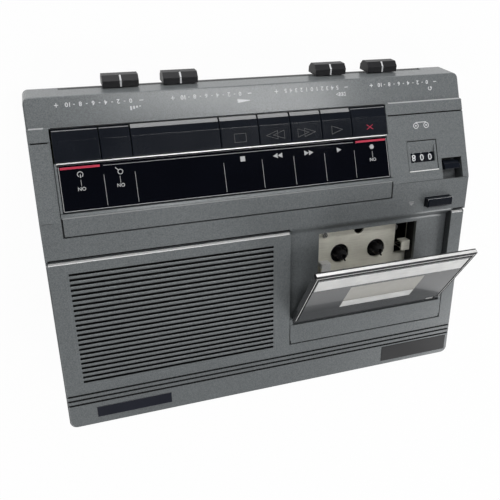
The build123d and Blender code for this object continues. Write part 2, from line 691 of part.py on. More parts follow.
def make_bottom_case():
    x1 = RIGHT - CASE_INSET
    y0 = LIP_Y + CASE_INSET
    y1 = REAR_Y - CASE_INSET
    tray = block(-x1, x1, y0, y1, FOOT_HEIGHT, SPLIT_HEIGHT)
    tray = fillet(upright_edges(tray, y1), REAR_CORNER - CASE_INSET)
    tray = fillet(upright_edges(tray, y0), FRONT_CORNER - CASE_INSET)
    tray -= block(-x1 + WALL, x1 - WALL, y0 + WALL, y1 - WALL, FLOOR_TOP, 2 * SPLIT_HEIGHT)

    # A rib inside the side and rear walls of the covers keeps the two halves in line.
    rib_x = RIGHT - WALL - RIB_GAP
    rib_y = REAR_Y - WALL - RIB_GAP
    rib_front = LIP_Y + 2 * BOSS_FRONT
    rib = block(-rib_x, rib_x, rib_front, rib_y, FLOOR_TOP, SPLIT_HEIGHT + RIB_HEIGHT)
    rib = fillet(upright_edges(rib, rib_y), REAR_CORNER - WALL)
    tray += rib - block(
        -rib_x + RIB_THICKNESS, rib_x - RIB_THICKNESS, rib_front - 1, rib_y - RIB_THICKNESS, 0, DEPTH)

    for x, y in BOSS_PLACES:
        tray += rod(x, y, FOOT_HEIGHT, PAD_TOP, BOSS_RADIUS)
        tray -= rod(x, y, 0, FOOT_HEIGHT + SCREW_HEAD_HEIGHT, SCREW_HEAD_RADIUS + HEAD_CLEARANCE)
        tray -= rod(x, y, 0, 2 * PAD_TOP, SCREW_RADIUS + RIB_GAP)
    for x, y in main_board_posts():
        tray += rod(x, y, FOOT_HEIGHT, MAIN_BOARD_LEVEL, BOARD_POST_RADIUS)
    return tray


def make_case_screws():
    """Four pan-head screws, up through the bottom case into the covers."""
    screws = []
    for x, y in BOSS_PLACES:
        seat = FOOT_HEIGHT + SCREW_HEAD_HEIGHT
        head = rod(x, y, FOOT_HEIGHT + RIB_GAP, seat, SCREW_HEAD_RADIUS)
        screws.append(head + rod(x, y, seat, PAD_TOP + SCREW_LENGTH, SCREW_RADIUS))
    return Compound(children=screws)


def make_feet():
    """Four round rubber feet under the bottom case."""
    feet = []
    for x in (LEFT + FOOT_MARGIN, RIGHT - FOOT_MARGIN):
        for y in (LIP_Y + FOOT_MARGIN, REAR_Y - FOOT_MARGIN):
            foot = rod(x, y, 0, FOOT_HEIGHT, FOOT_RADIUS)
            feet.append(chamfer(foot.edges().group_by(Axis.Z)[0], FOOT_HEIGHT / 4))
    return Compound(children=feet)


def make_bezel():
    outline = [
        deck_point(BEZEL_REAR, 0),
        deck_point(-BEZEL_REACH, 0),
        control_point(PANEL_REAR + RIDGE_WALL / 4, PANEL_TOP),
        control_point(PANEL_REAR, SEAT_LEVEL),
        control_point(TRIM_FRONT, SEAT_LEVEL),
        control_point(TRIM_FRONT, SKIN),
        control_point(PANEL_REAR, SKIN),
        deck_point(BEZEL_REACH, UNDER_DECK),
        deck_point(BEZEL_REAR, UNDER_DECK),
    ]
    bezel = bar(outline, BEZEL_LEFT, BEZEL_RIGHT)
    bezel = fillet(edges_at(bezel, outline[1]), EDGE_ROUND)
    for x0 in (BEZEL_LEFT, BEZEL_RIGHT - RAIL_WIDTH):
        bezel += control * block(x0, x0 + RAIL_WIDTH, TRIM_FRONT, PANEL_REAR, SEAT_LEVEL, PANEL_TOP)

    # Flanges that bear on the underside of the front cover, and posts for the key board.
    bezel += deck * block(
        BEZEL_LEFT, BEZEL_RIGHT, BEZEL_REAR - FLANGE_WIDTH, BEZEL_REAR + FLANGE_WIDTH,
        UNDER_DECK - FLANGE_THICKNESS, UNDER_DECK)
    for x0 in (BEZEL_LEFT - FLANGE_WIDTH, BEZEL_RIGHT - FLANGE_WIDTH):
        bezel += control * block(
            x0, x0 + 2 * FLANGE_WIDTH, PANEL_FRONT, PANEL_REAR - FLANGE_WIDTH, SKIN - FLANGE_THICKNESS, SKIN)
    for x in (BEZEL_LEFT + 2 * POST_INSET, 0, BEZEL_RIGHT - 2 * POST_INSET):
        bezel += control * rod(x, BOARD_REAR - POST_INSET, BOARD_TOP, SKIN, POST_RADIUS)
    return bezel


def make_label_panel():
    """Glossy strip above the keys."""
    x0 = BEZEL_LEFT + RAIL_WIDTH + KEY_GAP / 4
    x1 = BEZEL_RIGHT - RAIL_WIDTH - KEY_GAP / 4
    return control * block(x0, x1, PANEL_FRONT + KEY_GAP / 4, PANEL_REAR - KEY_GAP / 4, SEAT_LEVEL, PANEL_TOP)


def make_key_trim():
    """Bright strip between the label panel and the keys."""
    x0 = BEZEL_LEFT + RAIL_WIDTH
    x1 = BEZEL_RIGHT - RAIL_WIDTH
    trim = block(x0, x1, TRIM_FRONT, PANEL_FRONT, SEAT_LEVEL, SEAT_LEVEL + TRIM_HEIGHT)
    return control * trim


def key_slots():
    """Name, left side and right side of each key, from the left."""
    widths = {
        "erase_key": ERASE_WIDTH,
        "play_key": TRANSPORT_WIDTH,
        "fast_forward_key": TRANSPORT_WIDTH,
        "rewind_key": TRANSPORT_WIDTH,
        "stop_key": STOP_WIDTH,
        "blank_key": 0.0,
        "search_key": SEARCH_WIDTH,
        "power_key": POWER_WIDTH,
    }
    row_left = BEZEL_LEFT + KEY_GAP
    row_right = BEZEL_RIGHT - KEY_GAP / 2
    widths["blank_key"] = row_right - row_left - sum(widths.values())
    slots = []
    x = row_left
    for name, width in widths.items():
        slots.append((name, x, x + width - KEY_GAP))
        x += width
    return slots


def make_key(x0, x1):
    """Key cap with a rear facet, a front facet that falls away and a steep nose along the front."""
    profile = [
        (KEY_FRONT, -KEY_SKIRT),
        (KEY_FRONT, KEY_FRONT_LEVEL - KEY_NOSE_DROP),
        (KEY_FRONT + KEY_NOSE, KEY_FRONT_LEVEL),
        (KEY_FRONT + KEY_CREASE, KEY_CREASE_LEVEL),
        (KEY_REAR, KEY_REAR_LEVEL),
        (KEY_REAR, -KEY_SKIRT),
    ]
    cap = bar(profile, x0, x1)
    top = [edge for edge in cap.edges() if min(edge.start_point().Z, edge.end_point().Z) > 0]
    rim = [edge for edge in top if abs(edge.center().X - (x0 + x1) / 2) > KEY_EDGE]
    return chamfer(rim + edges_at(cap, (KEY_REAR, KEY_REAR_LEVEL)), KEY_EDGE)


def make_keys():
    keys = {}
    half = PLUNGER_SIDE / 2
    middle = KEY_FRONT + KEY_DEPTH / 2
    for name, x0, x1 in key_slots():
        key = make_key(x0, x1)
        x = (x0 + x1) / 2
        if name == "blank_key":
            for leg_x in (x0 + 2 * PLUNGER_SIDE, x1 - 2 * PLUNGER_SIDE):
                key += block(leg_x - half, leg_x + half, middle - half, middle + half, BOARD_TOP, -KEY_SKIRT)
        else:
            key += block(x - half, x + half, middle - half, middle + half, PLUNGER_BOTTOM, -KEY_SKIRT)
        keys[name] = control * key
    return keys


def make_key_board():
    """Board under the keys with one push switch for each key that moves."""
    board = block(BEZEL_LEFT, BEZEL_RIGHT, BOARD_FRONT, BOARD_REAR, BOARD_TOP - BOARD, BOARD_TOP)
    half = SWITCH_SIDE / 2
    middle = KEY_FRONT + KEY_DEPTH / 2
    for name, x0, x1 in key_slots():
        if name != "blank_key":
            x = (x0 + x1) / 2
            switch = block(x - half, x + half, middle - half, middle + half, BOARD_TOP, SWITCH_TOP - 1)
            board += switch + rod(x, middle, SWITCH_TOP - 1, SWITCH_TOP, half / 2)
    return control * board


def make_pots():
    """Four slide controls in a row behind the front wall, open to the front for their levers."""
    pots = []
    slot_half = (POT_TRAVEL + STEM_WIDTH) / 2 + FIT_GAP
    for x in POT_CENTRES:
        body = block(
            x - POT_LENGTH / 2, x + POT_LENGTH / 2, POT_FRONT, POT_FRONT + POT_DEPTH,
            FLOOR_TOP, FLOOR_TOP + POT_HEIGHT)
        slot = block(
            x - slot_half, x + slot_half, POT_FRONT - 1, POT_FRONT + POT_SLOT_DEPTH,
            STEM_LEVEL - STEM_HEIGHT / 2 - FIT_GAP, STEM_LEVEL + STEM_HEIGHT / 2 + FIT_GAP)
        pots.append(body - slot)
    return Compound(children=pots)


def make_knobs():
    knobs = {}
    for centre, (name, offset) in zip(POT_CENTRES, KNOB_OFFSETS.items()):
        x = centre + offset
        front = LIP_Y - KNOB_REACH
        rear = LIP_Y - KNOB_GAP
        cap = block(
            x - KNOB_WIDTH / 2, x + KNOB_WIDTH / 2, front, rear,
            STEM_LEVEL - KNOB_HEIGHT / 2, STEM_LEVEL + KNOB_HEIGHT / 2)
        cap = chamfer(cap.edges().group_by(Axis.Y)[0].filter_by(Axis.X), KNOB_CHAMFER)
        stem = block(
            x - STEM_WIDTH / 2, x + STEM_WIDTH / 2, rear, POT_FRONT + STEM_BITE,
            STEM_LEVEL - STEM_HEIGHT / 2, STEM_LEVEL + STEM_HEIGHT / 2)
        knobs[name] = cap + stem
    return knobs


def make_counter():
    """Frame, bracket with its fixed shaft and three number wheels."""
    rear = COUNTER_FRONT + COUNTER_DEPTH
    frame = block(COUNTER_X0, COUNTER_X1, COUNTER_FRONT, rear, SKIN, STEP_HEIGHT + COUNTER_PROUD)
    window = block(
        DIGIT_X0, DIGIT_X1, DIGIT_MIDDLE - DIGIT_WINDOW / 2, DIGIT_MIDDLE + DIGIT_WINDOW / 2,
        SKIN - 1, STEP_HEIGHT + 1)
    slope = [
        (DIGIT_MIDDLE - DIGIT_WINDOW / 2 - DIGIT_SLOPE, STEP_HEIGHT + COUNTER_PROUD),
        (DIGIT_MIDDLE, STEP_HEIGHT + COUNTER_PROUD),
        (DIGIT_MIDDLE, STEP_HEIGHT + COUNTER_PROUD - DIGIT_SLOPE_DROP),
        (DIGIT_MIDDLE - DIGIT_WINDOW / 2, STEP_HEIGHT + COUNTER_PROUD - DIGIT_SLOPE_DROP),
    ]
    window += bar(slope, DIGIT_X0, DIGIT_X1)
    wheels_x0 = DIGIT_X0 - FIT_GAP
    wheels_x1 = DIGIT_X1 + FIT_GAP
    room = WHEEL_RADIUS + FIT_GAP
    hollow = cross_rod(wheels_x0, wheels_x1, DIGIT_MIDDLE, COUNTER_AXIS_LEVEL, room)
    clear = block(
        wheels_x0, wheels_x1, DIGIT_MIDDLE - room, DIGIT_MIDDLE + room,
        COUNTER_AXIS_LEVEL - 2 * WHEEL_RADIUS, STEP_HEIGHT - DIGIT_SINK / 2)
    flange = block(
        COUNTER_X0, COUNTER_X1 + BRACKET_LAP, COUNTER_FRONT - BRACKET_LAP, rear + BRACKET_LAP,
        SKIN - BRACKET, SKIN)
    bracket_under = COUNTER_AXIS_LEVEL - WHEEL_RADIUS / 2
    bracket = flange
    for x0, x1 in ((wheels_x0 - BRACKET, wheels_x0), (wheels_x1, wheels_x1 + BRACKET)):
        bracket += block(
            x0, x1, DIGIT_MIDDLE - WHEEL_RADIUS / 2, DIGIT_MIDDLE + WHEEL_RADIUS / 2, bracket_under, SKIN)
    shaft_x0 = wheels_x0 - BRACKET
    shaft_x1 = wheels_x1 + BRACKET
    shaft = cross_rod(shaft_x0, shaft_x1, DIGIT_MIDDLE, COUNTER_AXIS_LEVEL, COUNTER_SHAFT_RADIUS)
    nodes = {
        "counter_frame": control * (frame - window - hollow),
        "counter_bracket": control * (bracket - clear + shaft),
    }
    for index, name in enumerate(("hundreds_wheel", "tens_wheel", "units_wheel")):
        x0 = DIGIT_X0 + index * DIGIT_PITCH
        x1 = x0 + DIGIT_PITCH
        edge = DIGIT_GAP / 2
        wheel = cross_rod(x0 + edge, x1 - edge, DIGIT_MIDDLE, COUNTER_AXIS_LEVEL, WHEEL_RADIUS)
        bore_radius = COUNTER_SHAFT_RADIUS + AXLE_CLEARANCE
        bore = cross_rod(x0, x1, DIGIT_MIDDLE, COUNTER_AXIS_LEVEL, bore_radius)
        nodes[name] = control * (wheel - bore)
    return nodes


def door_frame():
    """Place of the open door, which is drawn shut and turned up about its hinge."""
    hinge = Pos(0, HINGE_ALONG, HINGE_LEVEL)
    return deck * hinge * Rot(-DOOR_OPEN, 0, 0) * Pos(0, -HINGE_ALONG, -HINGE_LEVEL)


def make_door():
    """Door with its clear window, a shallow place for a label and the bright strip along its front edge."""
    open_place = door_frame()
    under = -DOOR_THICKNESS
    plate_front = DOOR_FRONT + DOOR_TRIM
    plate = block(DOOR_LEFT, DOOR_RIGHT, plate_front, HINGE_ALONG, under, 0)
    plate += cross_rod(DOOR_LEFT, DOOR_RIGHT, HINGE_ALONG, HINGE_LEVEL, KNUCKLE_RADIUS)
    bore = PIN_RADIUS + KNUCKLE_CLEARANCE
    plate -= cross_rod(DOOR_LEFT - 1, DOOR_RIGHT + 1, HINGE_ALONG, HINGE_LEVEL, bore)
    notch_x0 = DOOR_LEFT + DOOR_THICKNESS
    notch_reach = 2 * DOOR_THICKNESS
    plate -= block(
        notch_x0, notch_x0 + SPRING_NOTCH, HINGE_ALONG - notch_reach / 2, HINGE_ALONG + notch_reach,
        2 * under, -under)
    middle = (DOOR_LEFT + DOOR_RIGHT) / 2
    pane = block(
        middle - WINDOW_WIDTH / 2, middle + WINDOW_WIDTH / 2,
        HINGE_ALONG - WINDOW_FAR, HINGE_ALONG - WINDOW_NEAR, -WINDOW_THICKNESS, 0)
    light = block(
        middle - WINDOW_WIDTH / 2 + WINDOW_LEDGE, middle + WINDOW_WIDTH / 2 - WINDOW_LEDGE,
        HINGE_ALONG - WINDOW_FAR + WINDOW_LEDGE, HINGE_ALONG - WINDOW_NEAR - WINDOW_LEDGE, 2 * under, 0)
    strip = block(
        middle - LABEL_WIDTH / 2, middle + LABEL_WIDTH / 2, HINGE_ALONG - LABEL_FAR, HINGE_ALONG - LABEL_NEAR,
        -LABEL_THICKNESS, 0)
    trim = block(DOOR_LEFT, DOOR_RIGHT, DOOR_FRONT, plate_front, under, 0)
    trim = chamfer(trim.edges().group_by(Axis.Y)[0].filter_by(Axis.X), KEY_EDGE)
    return {
        "cassette_door": open_place * (plate - pane - light - strip),
        "door_window": open_place * pane,
        "door_trim": open_place * trim,
    }


def make_hinge():
    """Panel behind the door with the ears for its pin, the pin and its coil spring."""
    x0 = DISH_LEFT + DOOR_SIDE_GAP / 5
    x1 = DISH_RIGHT - DOOR_SIDE_GAP / 5
    rear = HINGE_REAR - FIT_GAP
    panel = block(x0, x1, HINGE_FRONT, rear, UNDER_DECK, 0)
    panel += block(x0, x1, rear - WALL, rear, -DISH_DEPTH, UNDER_DECK)
    ear_front = HINGE_ALONG - KNUCKLE_RADIUS
    for ear_x0, ear_x1 in ((x0, DOOR_LEFT - FIT_GAP), (DOOR_RIGHT + FIT_GAP, x1)):
        panel += block(ear_x0, ear_x1, ear_front, rear, -DISH_DEPTH, -KEY_EDGE)
    pin = cross_rod(x0, x1, HINGE_ALONG, HINGE_LEVEL, PIN_RADIUS)
    spring = Pos(DOOR_LEFT + DOOR_THICKNESS + SPRING_NOTCH / 2, HINGE_ALONG, HINGE_LEVEL) * make_coil()
    return {
        "hinge_panel": deck * (panel - pin),
        "door_hinge_pin": deck * pin,
        "door_spring": deck * spring,
    }


def make_coil():
    """Close-wound spring along X, its turns drawn as ridges."""
    pitch = 2 * SPRING_WIRE
    start = -SPRING_TURNS * pitch / 2
    inner = PIN_RADIUS + RIB_GAP / 4
    root = inner + SPRING_WIRE
    points = [(start, inner)]
    for index in range(SPRING_TURNS):
        x = start + index * pitch
        points += [(x, root), (x + SPRING_WIRE, root + SPRING_WIRE)]
    points += [(-start, root), (-start, inner)]
    return revolve(make_face(Polyline(*points, close=True)), Axis.X)


def make_well():
    """Black frame between the dish and the deck plate."""
    x0 = WELL_LEFT - WELL_WALL
    x1 = WELL_RIGHT + WELL_WALL
    front = WELL_FRONT - WELL_WALL
    rear = WELL_REAR + WELL_WALL
    well = block(x0, x1, front, rear, PLATE_TOP, DISH_UNDER)
    well += block(
        x0 - WELL_FLANGE, x1 + WELL_FLANGE, SCOOP_START + SCOOP_RUN, rear + WELL_FLANGE / 2,
        DISH_UNDER - WELL_WALL, DISH_UNDER)
    return deck * (well - block(WELL_LEFT, WELL_RIGHT, WELL_FRONT, WELL_REAR, 2 * PLATE_TOP, 0))


def make_deck_plate():
    """Steel plate under the cassette, with its holes, a bent guide tab and the lever's pin."""
    x0 = WELL_LEFT - PLATE_MARGIN
    x1 = WELL_RIGHT + PLATE_MARGIN
    front = WELL_FRONT - WELL_FLANGE
    rear = WELL_REAR + 2 * WELL_FLANGE
    plate = block(x0, x1, front, rear, PLATE_UNDER, PLATE_TOP)
    for x in (SUPPLY_X, TAKE_UP_X):
        plate -= rod(x, SPINDLE_ALONG, PLATE_UNDER - 1, PLATE_TOP + 1, SPINDLE_HOLE)
    plate -= rod(SPINDLE_MIDDLE, WELL_FRONT + WELL_FLANGE, PLATE_UNDER - 1, PLATE_TOP + 1, SPINDLE_HUB)
    notch_rear = LEVER_ALONG + LEVER_WIDTH
    plate -= block(WELL_LEFT, WELL_LEFT + LEVER_NOTCH, WELL_FRONT, notch_rear, PLATE_UNDER - 1, PLATE_TOP + 1)
    corner = block(
        WELL_RIGHT - LEVER_WIDTH, WELL_RIGHT, WELL_FRONT, WELL_FRONT + 2 * LEVER_WIDTH,
        PLATE_UNDER - 1, PLATE_TOP + 1)
    plate -= corner

    # Guide tab bent up at the right, and two ears bent down that hold the pin of the lever.
    tab_front = SPINDLE_ALONG + SPINDLE_HOLE
    plate += block(
        WELL_RIGHT - LEVER_WIDTH - LEVER_SHEET, WELL_RIGHT - LEVER_WIDTH, tab_front, tab_front + LEVER_WIDTH,
        PLATE_TOP, PLATE_TOP + LEVER_RISE)
    plate += block(
        WELL_RIGHT - 2 * LEVER_WIDTH, WELL_RIGHT - LEVER_WIDTH, tab_front, tab_front + LEVER_WIDTH,
        PLATE_TOP + LEVER_RISE - LEVER_SHEET, PLATE_TOP + LEVER_RISE)
    ear_x0 = WELL_LEFT - LEVER_SHEET
    ear_x1 = WELL_LEFT + LEVER_NOTCH + LEVER_SHEET
    half = LEVER_WIDTH / 2
    for x in (ear_x0, ear_x1 - LEVER_SHEET):
        plate += block(
            x, x + LEVER_SHEET, LEVER_ALONG - half, LEVER_ALONG + half, LEVER_LEVEL - half, PLATE_TOP)
    plate += cross_rod(ear_x0, ear_x1, LEVER_ALONG, LEVER_LEVEL, PIN_RADIUS)
    return deck * plate


def make_lever():
    """Bent steel lever that feels for the cassette."""
    x0 = LEVER_X - LEVER_WIDTH / 2
    x1 = LEVER_X + LEVER_WIDTH / 2
    half = LEVER_SHEET / 2
    top = PLATE_TOP + LEVER_RISE
    lever = block(x0, x1, LEVER_ALONG - half, LEVER_ALONG + half, LEVER_LEVEL, top)
    lever += block(x0, x1, LEVER_ALONG - LEVER_WIDTH, LEVER_ALONG + half, top - LEVER_SHEET, top)
    lever += cross_rod(x0, x1, LEVER_ALONG, LEVER_LEVEL, 2 * PIN_RADIUS)
    bore = PIN_RADIUS + KNUCKLE_CLEARANCE
    return deck * (lever - cross_rod(x0 - 1, x1 + 1, LEVER_ALONG, LEVER_LEVEL, bore))


def make_spindle(x):
    """Reel spindle with its rubber-edged table, its finned hub and a sleeve on the axle."""
    sleeve_under = CHASSIS_TOP + LAYER_GAP
    hub_top = PLATE_TOP + SPINDLE_TOP
    fin_top = hub_top - SPINDLE_HUB / 2
    points = [
        (AXLE_RADIUS + AXLE_CLEARANCE, sleeve_under),
        (SPINDLE_HUB, sleeve_under),
        (SPINDLE_HUB, ROLL_UNDER),
        (REEL_RADIUS, ROLL_UNDER),
        (REEL_RADIUS, ROLL_TOP),
        (SPINDLE_HUB, ROLL_TOP),
        (SPINDLE_HUB, fin_top),
        (SPINDLE_HUB / 2, hub_top),
        (AXLE_RADIUS + AXLE_CLEARANCE, hub_top),
    ]
    spindle = turned(points)
    fin_half = LEVER_SHEET / 2
    for index in range(3):
        fin = block(SPINDLE_HUB / 2 + AXLE_RADIUS, SPINDLE_FIN, -fin_half, fin_half, PLATE_TOP, fin_top)
        spindle += Rot(0, 0, 120 * index) * fin
    return deck * Pos(x, SPINDLE_ALONG, 0) * spindle


def grooved(radius, bore):
    """Belt wheel between two flanges, as (radius, height) points."""
    mid = (PULLEY_TOP + PULLEY_UNDER) / 2
    groove = BELT / 2 + RIB_GAP
    rim = radius + PULLEY_FLANGE
    return [
        (bore, PULLEY_UNDER),
        (rim, PULLEY_UNDER),
        (rim, mid - groove),
        (radius, mid - groove),
        (radius, mid + groove),
        (rim, mid + groove),
        (rim, PULLEY_TOP),
    ]


def make_drive_wheel():
    """Belt wheel and friction hub on one sleeve, with a neck between them for the idler arm."""
    bore = AXLE_RADIUS + AXLE_CLEARANCE
    points = grooved(DRIVE_RADIUS, bore) + [
        (DRIVE_NECK, PULLEY_TOP),
        (DRIVE_NECK, ROLL_UNDER),
        (DRIVE_HUB, ROLL_UNDER),
        (DRIVE_HUB, ROLL_TOP),
        (bore, ROLL_TOP),
    ]
    return deck * Pos(SPINDLE_MIDDLE, DRIVE_ALONG, 0) * turned(points)


def make_idler():
    """Swinging arm round the drive wheel's neck, and the rubber wheel on its end."""
    eye = DRIVE_NECK + 2 * AXLE_CLEARANCE
    collar = eye + 2 * PIN_RADIUS
    arm = rod(SPINDLE_MIDDLE, DRIVE_ALONG, ARM_UNDER, ARM_TOP, collar)
    arm += rod(SPINDLE_MIDDLE, IDLER_ALONG, ARM_UNDER, ARM_TOP, 2 * AXLE_RADIUS)
    arm += block(
        SPINDLE_MIDDLE - 2 * AXLE_RADIUS, SPINDLE_MIDDLE + 2 * AXLE_RADIUS, IDLER_ALONG, DRIVE_ALONG,
        ARM_UNDER, ARM_TOP)
    arm -= rod(SPINDLE_MIDDLE, DRIVE_ALONG, ARM_UNDER - 1, ARM_TOP + 1, eye)
    arm += rod(SPINDLE_MIDDLE, IDLER_ALONG, ARM_UNDER, ROLL_TOP, AXLE_RADIUS)
    wheel = rod(SPINDLE_MIDDLE, IDLER_ALONG, ROLL_UNDER, ROLL_TOP, IDLER_RADIUS)
    wheel -= rod(SPINDLE_MIDDLE, IDLER_ALONG, ROLL_UNDER - 1, ROLL_TOP + 1, AXLE_RADIUS + AXLE_CLEARANCE)
    return {"idler_arm": deck * arm, "idler_wheel": deck * wheel}


def make_chassis():
    """Lower plate of the mechanism, with the axles and the pillars up to the deck plate."""
    x0 = SUPPLY_X - 2 * REEL_RADIUS
    x1 = MOTOR_X + MOTOR_RADIUS + PLATE
    front = SPINDLE_ALONG - REEL_RADIUS - 2 * PILLAR_RADIUS - PLATE
    rear = DRIVE_ALONG + DRIVE_RADIUS + PLATE
    chassis = block(x0, x1, front, rear, CHASSIS_UNDER, CHASSIS_TOP)
    for x, along, top in (
        (SUPPLY_X, SPINDLE_ALONG, PLATE_TOP + SPINDLE_TOP / 2),
        (TAKE_UP_X, SPINDLE_ALONG, PLATE_TOP + SPINDLE_TOP / 2),
        (SPINDLE_MIDDLE, DRIVE_ALONG, ROLL_TOP),
    ):
        chassis += rod(x, along, CHASSIS_UNDER, top, AXLE_RADIUS)
    pillar_front = front + PILLAR_RADIUS + PLATE
    pillar_rear = DRIVE_ALONG + DRIVE_RADIUS - PILLAR_RADIUS
    pillar_left = SUPPLY_X - DRIVE_RADIUS
    pillar_right = TAKE_UP_X + REEL_RADIUS + PILLAR_RADIUS
    for x, along in (
        (pillar_left, pillar_front), (pillar_right, pillar_front),
        (pillar_left, pillar_rear), (pillar_right, pillar_rear),
    ):
        chassis += rod(x, along, CHASSIS_UNDER, PLATE_UNDER, PILLAR_RADIUS)
    return deck * (chassis - rod(MOTOR_X, MOTOR_ALONG, 2 * CHASSIS_UNDER, 0, MOTOR_PULLEY + PULLEY_FLANGE))


def make_motor():
    """Motor can under the chassis, its pulley on the shaft and the belt to the drive wheel."""
    can = rod(MOTOR_X, MOTOR_ALONG, CHASSIS_UNDER - MOTOR_LENGTH, CHASSIS_UNDER, MOTOR_RADIUS)
    can = chamfer(can.edges().group_by(Axis.Z)[0], MOTOR_CHAMFER)
    shaft_under = CHASSIS_UNDER - 2 * MOTOR_PULLEY
    can -= rod(MOTOR_X, MOTOR_ALONG, shaft_under - FIT_GAP, CHASSIS_TOP, AXLE_RADIUS + AXLE_CLEARANCE)
    pulley = Pos(MOTOR_X, MOTOR_ALONG, 0) * turned(grooved(MOTOR_PULLEY, 0) + [(0, PULLEY_TOP)])
    pulley += rod(MOTOR_X, MOTOR_ALONG, shaft_under, PULLEY_UNDER, AXLE_RADIUS)
    mid = (PULLEY_TOP + PULLEY_UNDER) / 2
    belt = belt_loop(BELT + ROLL_GAP, mid) - belt_loop(ROLL_GAP, mid)
    return {"motor": deck * can, "motor_pulley": deck * pulley, "drive_belt": deck * belt}


def belt_loop(grow, mid):
    """Slab with the outline of a belt round the motor pulley and the drive wheel."""
    motor_end = Pos(MOTOR_X, MOTOR_ALONG) * Circle(MOTOR_PULLEY + grow)
    wheel_end = Pos(SPINDLE_MIDDLE, DRIVE_ALONG) * Circle(DRIVE_RADIUS + grow)
    outline = make_hull((motor_end + wheel_end).edges())
    return Pos(0, 0, mid - BELT / 2) * extrude(outline, amount=BELT)


def make_heads():
    """Sliding carriage behind the cassette, with the playback head and the erase head on it."""
    under = PLATE_TOP + AXLE_CLEARANCE
    seat = under + PLATE
    carriage = block(
        SPINDLE_MIDDLE - CARRIAGE_WIDTH / 2, SPINDLE_MIDDLE + CARRIAGE_WIDTH / 2,
        CARRIAGE_FRONT, CARRIAGE_REAR, under, seat)
    head = block(
        SPINDLE_MIDDLE - HEAD_WIDTH / 2, SPINDLE_MIDDLE + HEAD_WIDTH / 2,
        CARRIAGE_FRONT, CARRIAGE_FRONT + HEAD_DEPTH, seat, seat + HEAD_HEIGHT)
    nose = rod(SPINDLE_MIDDLE, CARRIAGE_FRONT + HEAD_WIDTH, seat, seat + HEAD_HEIGHT, HEAD_WIDTH)
    erase_x1 = SPINDLE_MIDDLE - HEAD_WIDTH / 2 - LEVER_WIDTH / 2
    erase = block(
        erase_x1 - ERASE_HEAD_WIDTH, erase_x1, CARRIAGE_FRONT, CARRIAGE_FRONT + HEAD_DEPTH,
        seat, seat + HEAD_HEIGHT - 1)
    erase_nose = rod(
        erase_x1 - ERASE_HEAD_WIDTH / 2, CARRIAGE_FRONT + ERASE_HEAD_WIDTH, seat, seat + HEAD_HEIGHT,
        ERASE_HEAD_WIDTH)
    return {
        "head_carriage": deck * carriage,
        "playback_head": deck * (head & nose),
        "erase_head": deck * (erase & erase_nose),
    }


def main_board_span():
    """Left, right, front and rear of the main board."""
    return MAIN_BOARD_LEFT, RIGHT - MAIN_BOARD_MARGIN, MAIN_BOARD_REAR - MAIN_BOARD_DEPTH, MAIN_BOARD_REAR


def main_board_posts():
    x0, x1, y0, y1 = main_board_span()
    inset = 2 * BOARD_POST_RADIUS
    return [(x, y) for x in (x0 + inset, x1 - inset) for y in (y0 + inset, y1 - inset)]


def make_main_board():
    """Board with a few of its larger components."""
    x0, x1, y0, y1 = main_board_span()
    board = block(x0, x1, y0, y1, MAIN_BOARD_LEVEL, MAIN_BOARD_TOP)
    chip_y = (y0 + y1) / 2
    for index in range(3):
        chip_x = x0 + (index + 1) * (x1 - x0) / 4
        board += block(
            chip_x - JACK_BODY / 2, chip_x + JACK_BODY / 2, chip_y - WALL, chip_y + WALL,
            MAIN_BOARD_TOP, MAIN_BOARD_TOP + WALL)
        board += rod(
            chip_x, chip_y - JACK_SPACING, MAIN_BOARD_TOP, MAIN_BOARD_TOP + JACK_BODY, CAPACITOR_RADIUS)
    return board


def jack_places():
    """Middle and bore radius of each rear socket, from the right."""
    places = []
    for index, radius in enumerate(JACK_BORES.values()):
        places.append((RIGHT - JACK_MARGIN - index * JACK_SPACING, radius))
    return places


def socket_plate_span():
    """Left, right, bottom and top of the opening for the socket plate."""
    places = [x for x, radius in jack_places()]
    x0 = min(places) - SOCKET_PLATE_MARGIN
    x1 = max(places) + SOCKET_PLATE_MARGIN
    return x0, x1, JACK_LEVEL - SOCKET_PLATE_HEIGHT / 2, JACK_LEVEL + SOCKET_PLATE_HEIGHT / 2


def make_socket_plate():
    """Plate flush with the rear wall, with a flange behind the wall and a hole for each socket."""
    x0, x1, z0, z1 = socket_plate_span()
    inner = REAR_Y - WALL
    plate = block(x0 + RIB_GAP, x1 - RIB_GAP, inner, REAR_Y, z0 + RIB_GAP, z1 - RIB_GAP)
    flange_under = SPLIT_HEIGHT + RIB_HEIGHT + FIT_GAP
    plate += block(
        x0 - SOCKET_PLATE_LAP, x1 + SOCKET_PLATE_LAP, inner - RIB_THICKNESS, inner,
        flange_under, z1 + SOCKET_PLATE_LAP)
    for x, radius in jack_places():
        hole = Cylinder(radius + JACK_WALL + FIT_GAP, 4 * WALL)
        plate -= Pos(x, REAR_Y, JACK_LEVEL) * Rot(90, 0, 0) * hole
    return plate


def make_jacks():
    """Rear sockets: a moulded body on the main board and a round nose through the rear wall."""
    jacks = {}
    for name, (x, radius) in zip(JACK_BORES, jack_places()):
        body_rear = MAIN_BOARD_REAR
        body = block(
            x - JACK_BODY / 2, x + JACK_BODY / 2, body_rear - JACK_DEPTH, body_rear,
            MAIN_BOARD_TOP, JACK_LEVEL + JACK_RISE)
        nose = Pos(x, (body_rear + REAR_Y) / 2, JACK_LEVEL) * Rot(90, 0, 0)
        body += nose * Cylinder(radius + JACK_WALL, REAR_Y - body_rear)
        bore = Pos(x, REAR_Y - JACK_BORE_DEPTH / 2, JACK_LEVEL) * Rot(90, 0, 0)
        body -= bore * Cylinder(radius, JACK_BORE_DEPTH)
        jacks[name] = body
    pin = Pos(jack_places()[2][0], REAR_Y - WALL - JACK_BORE_DEPTH / 2, JACK_LEVEL) * Rot(90, 0, 0)
    jacks["dc_jack"] += pin * Cylinder(PIN_RADIUS, JACK_BORE_DEPTH)
    return jacks


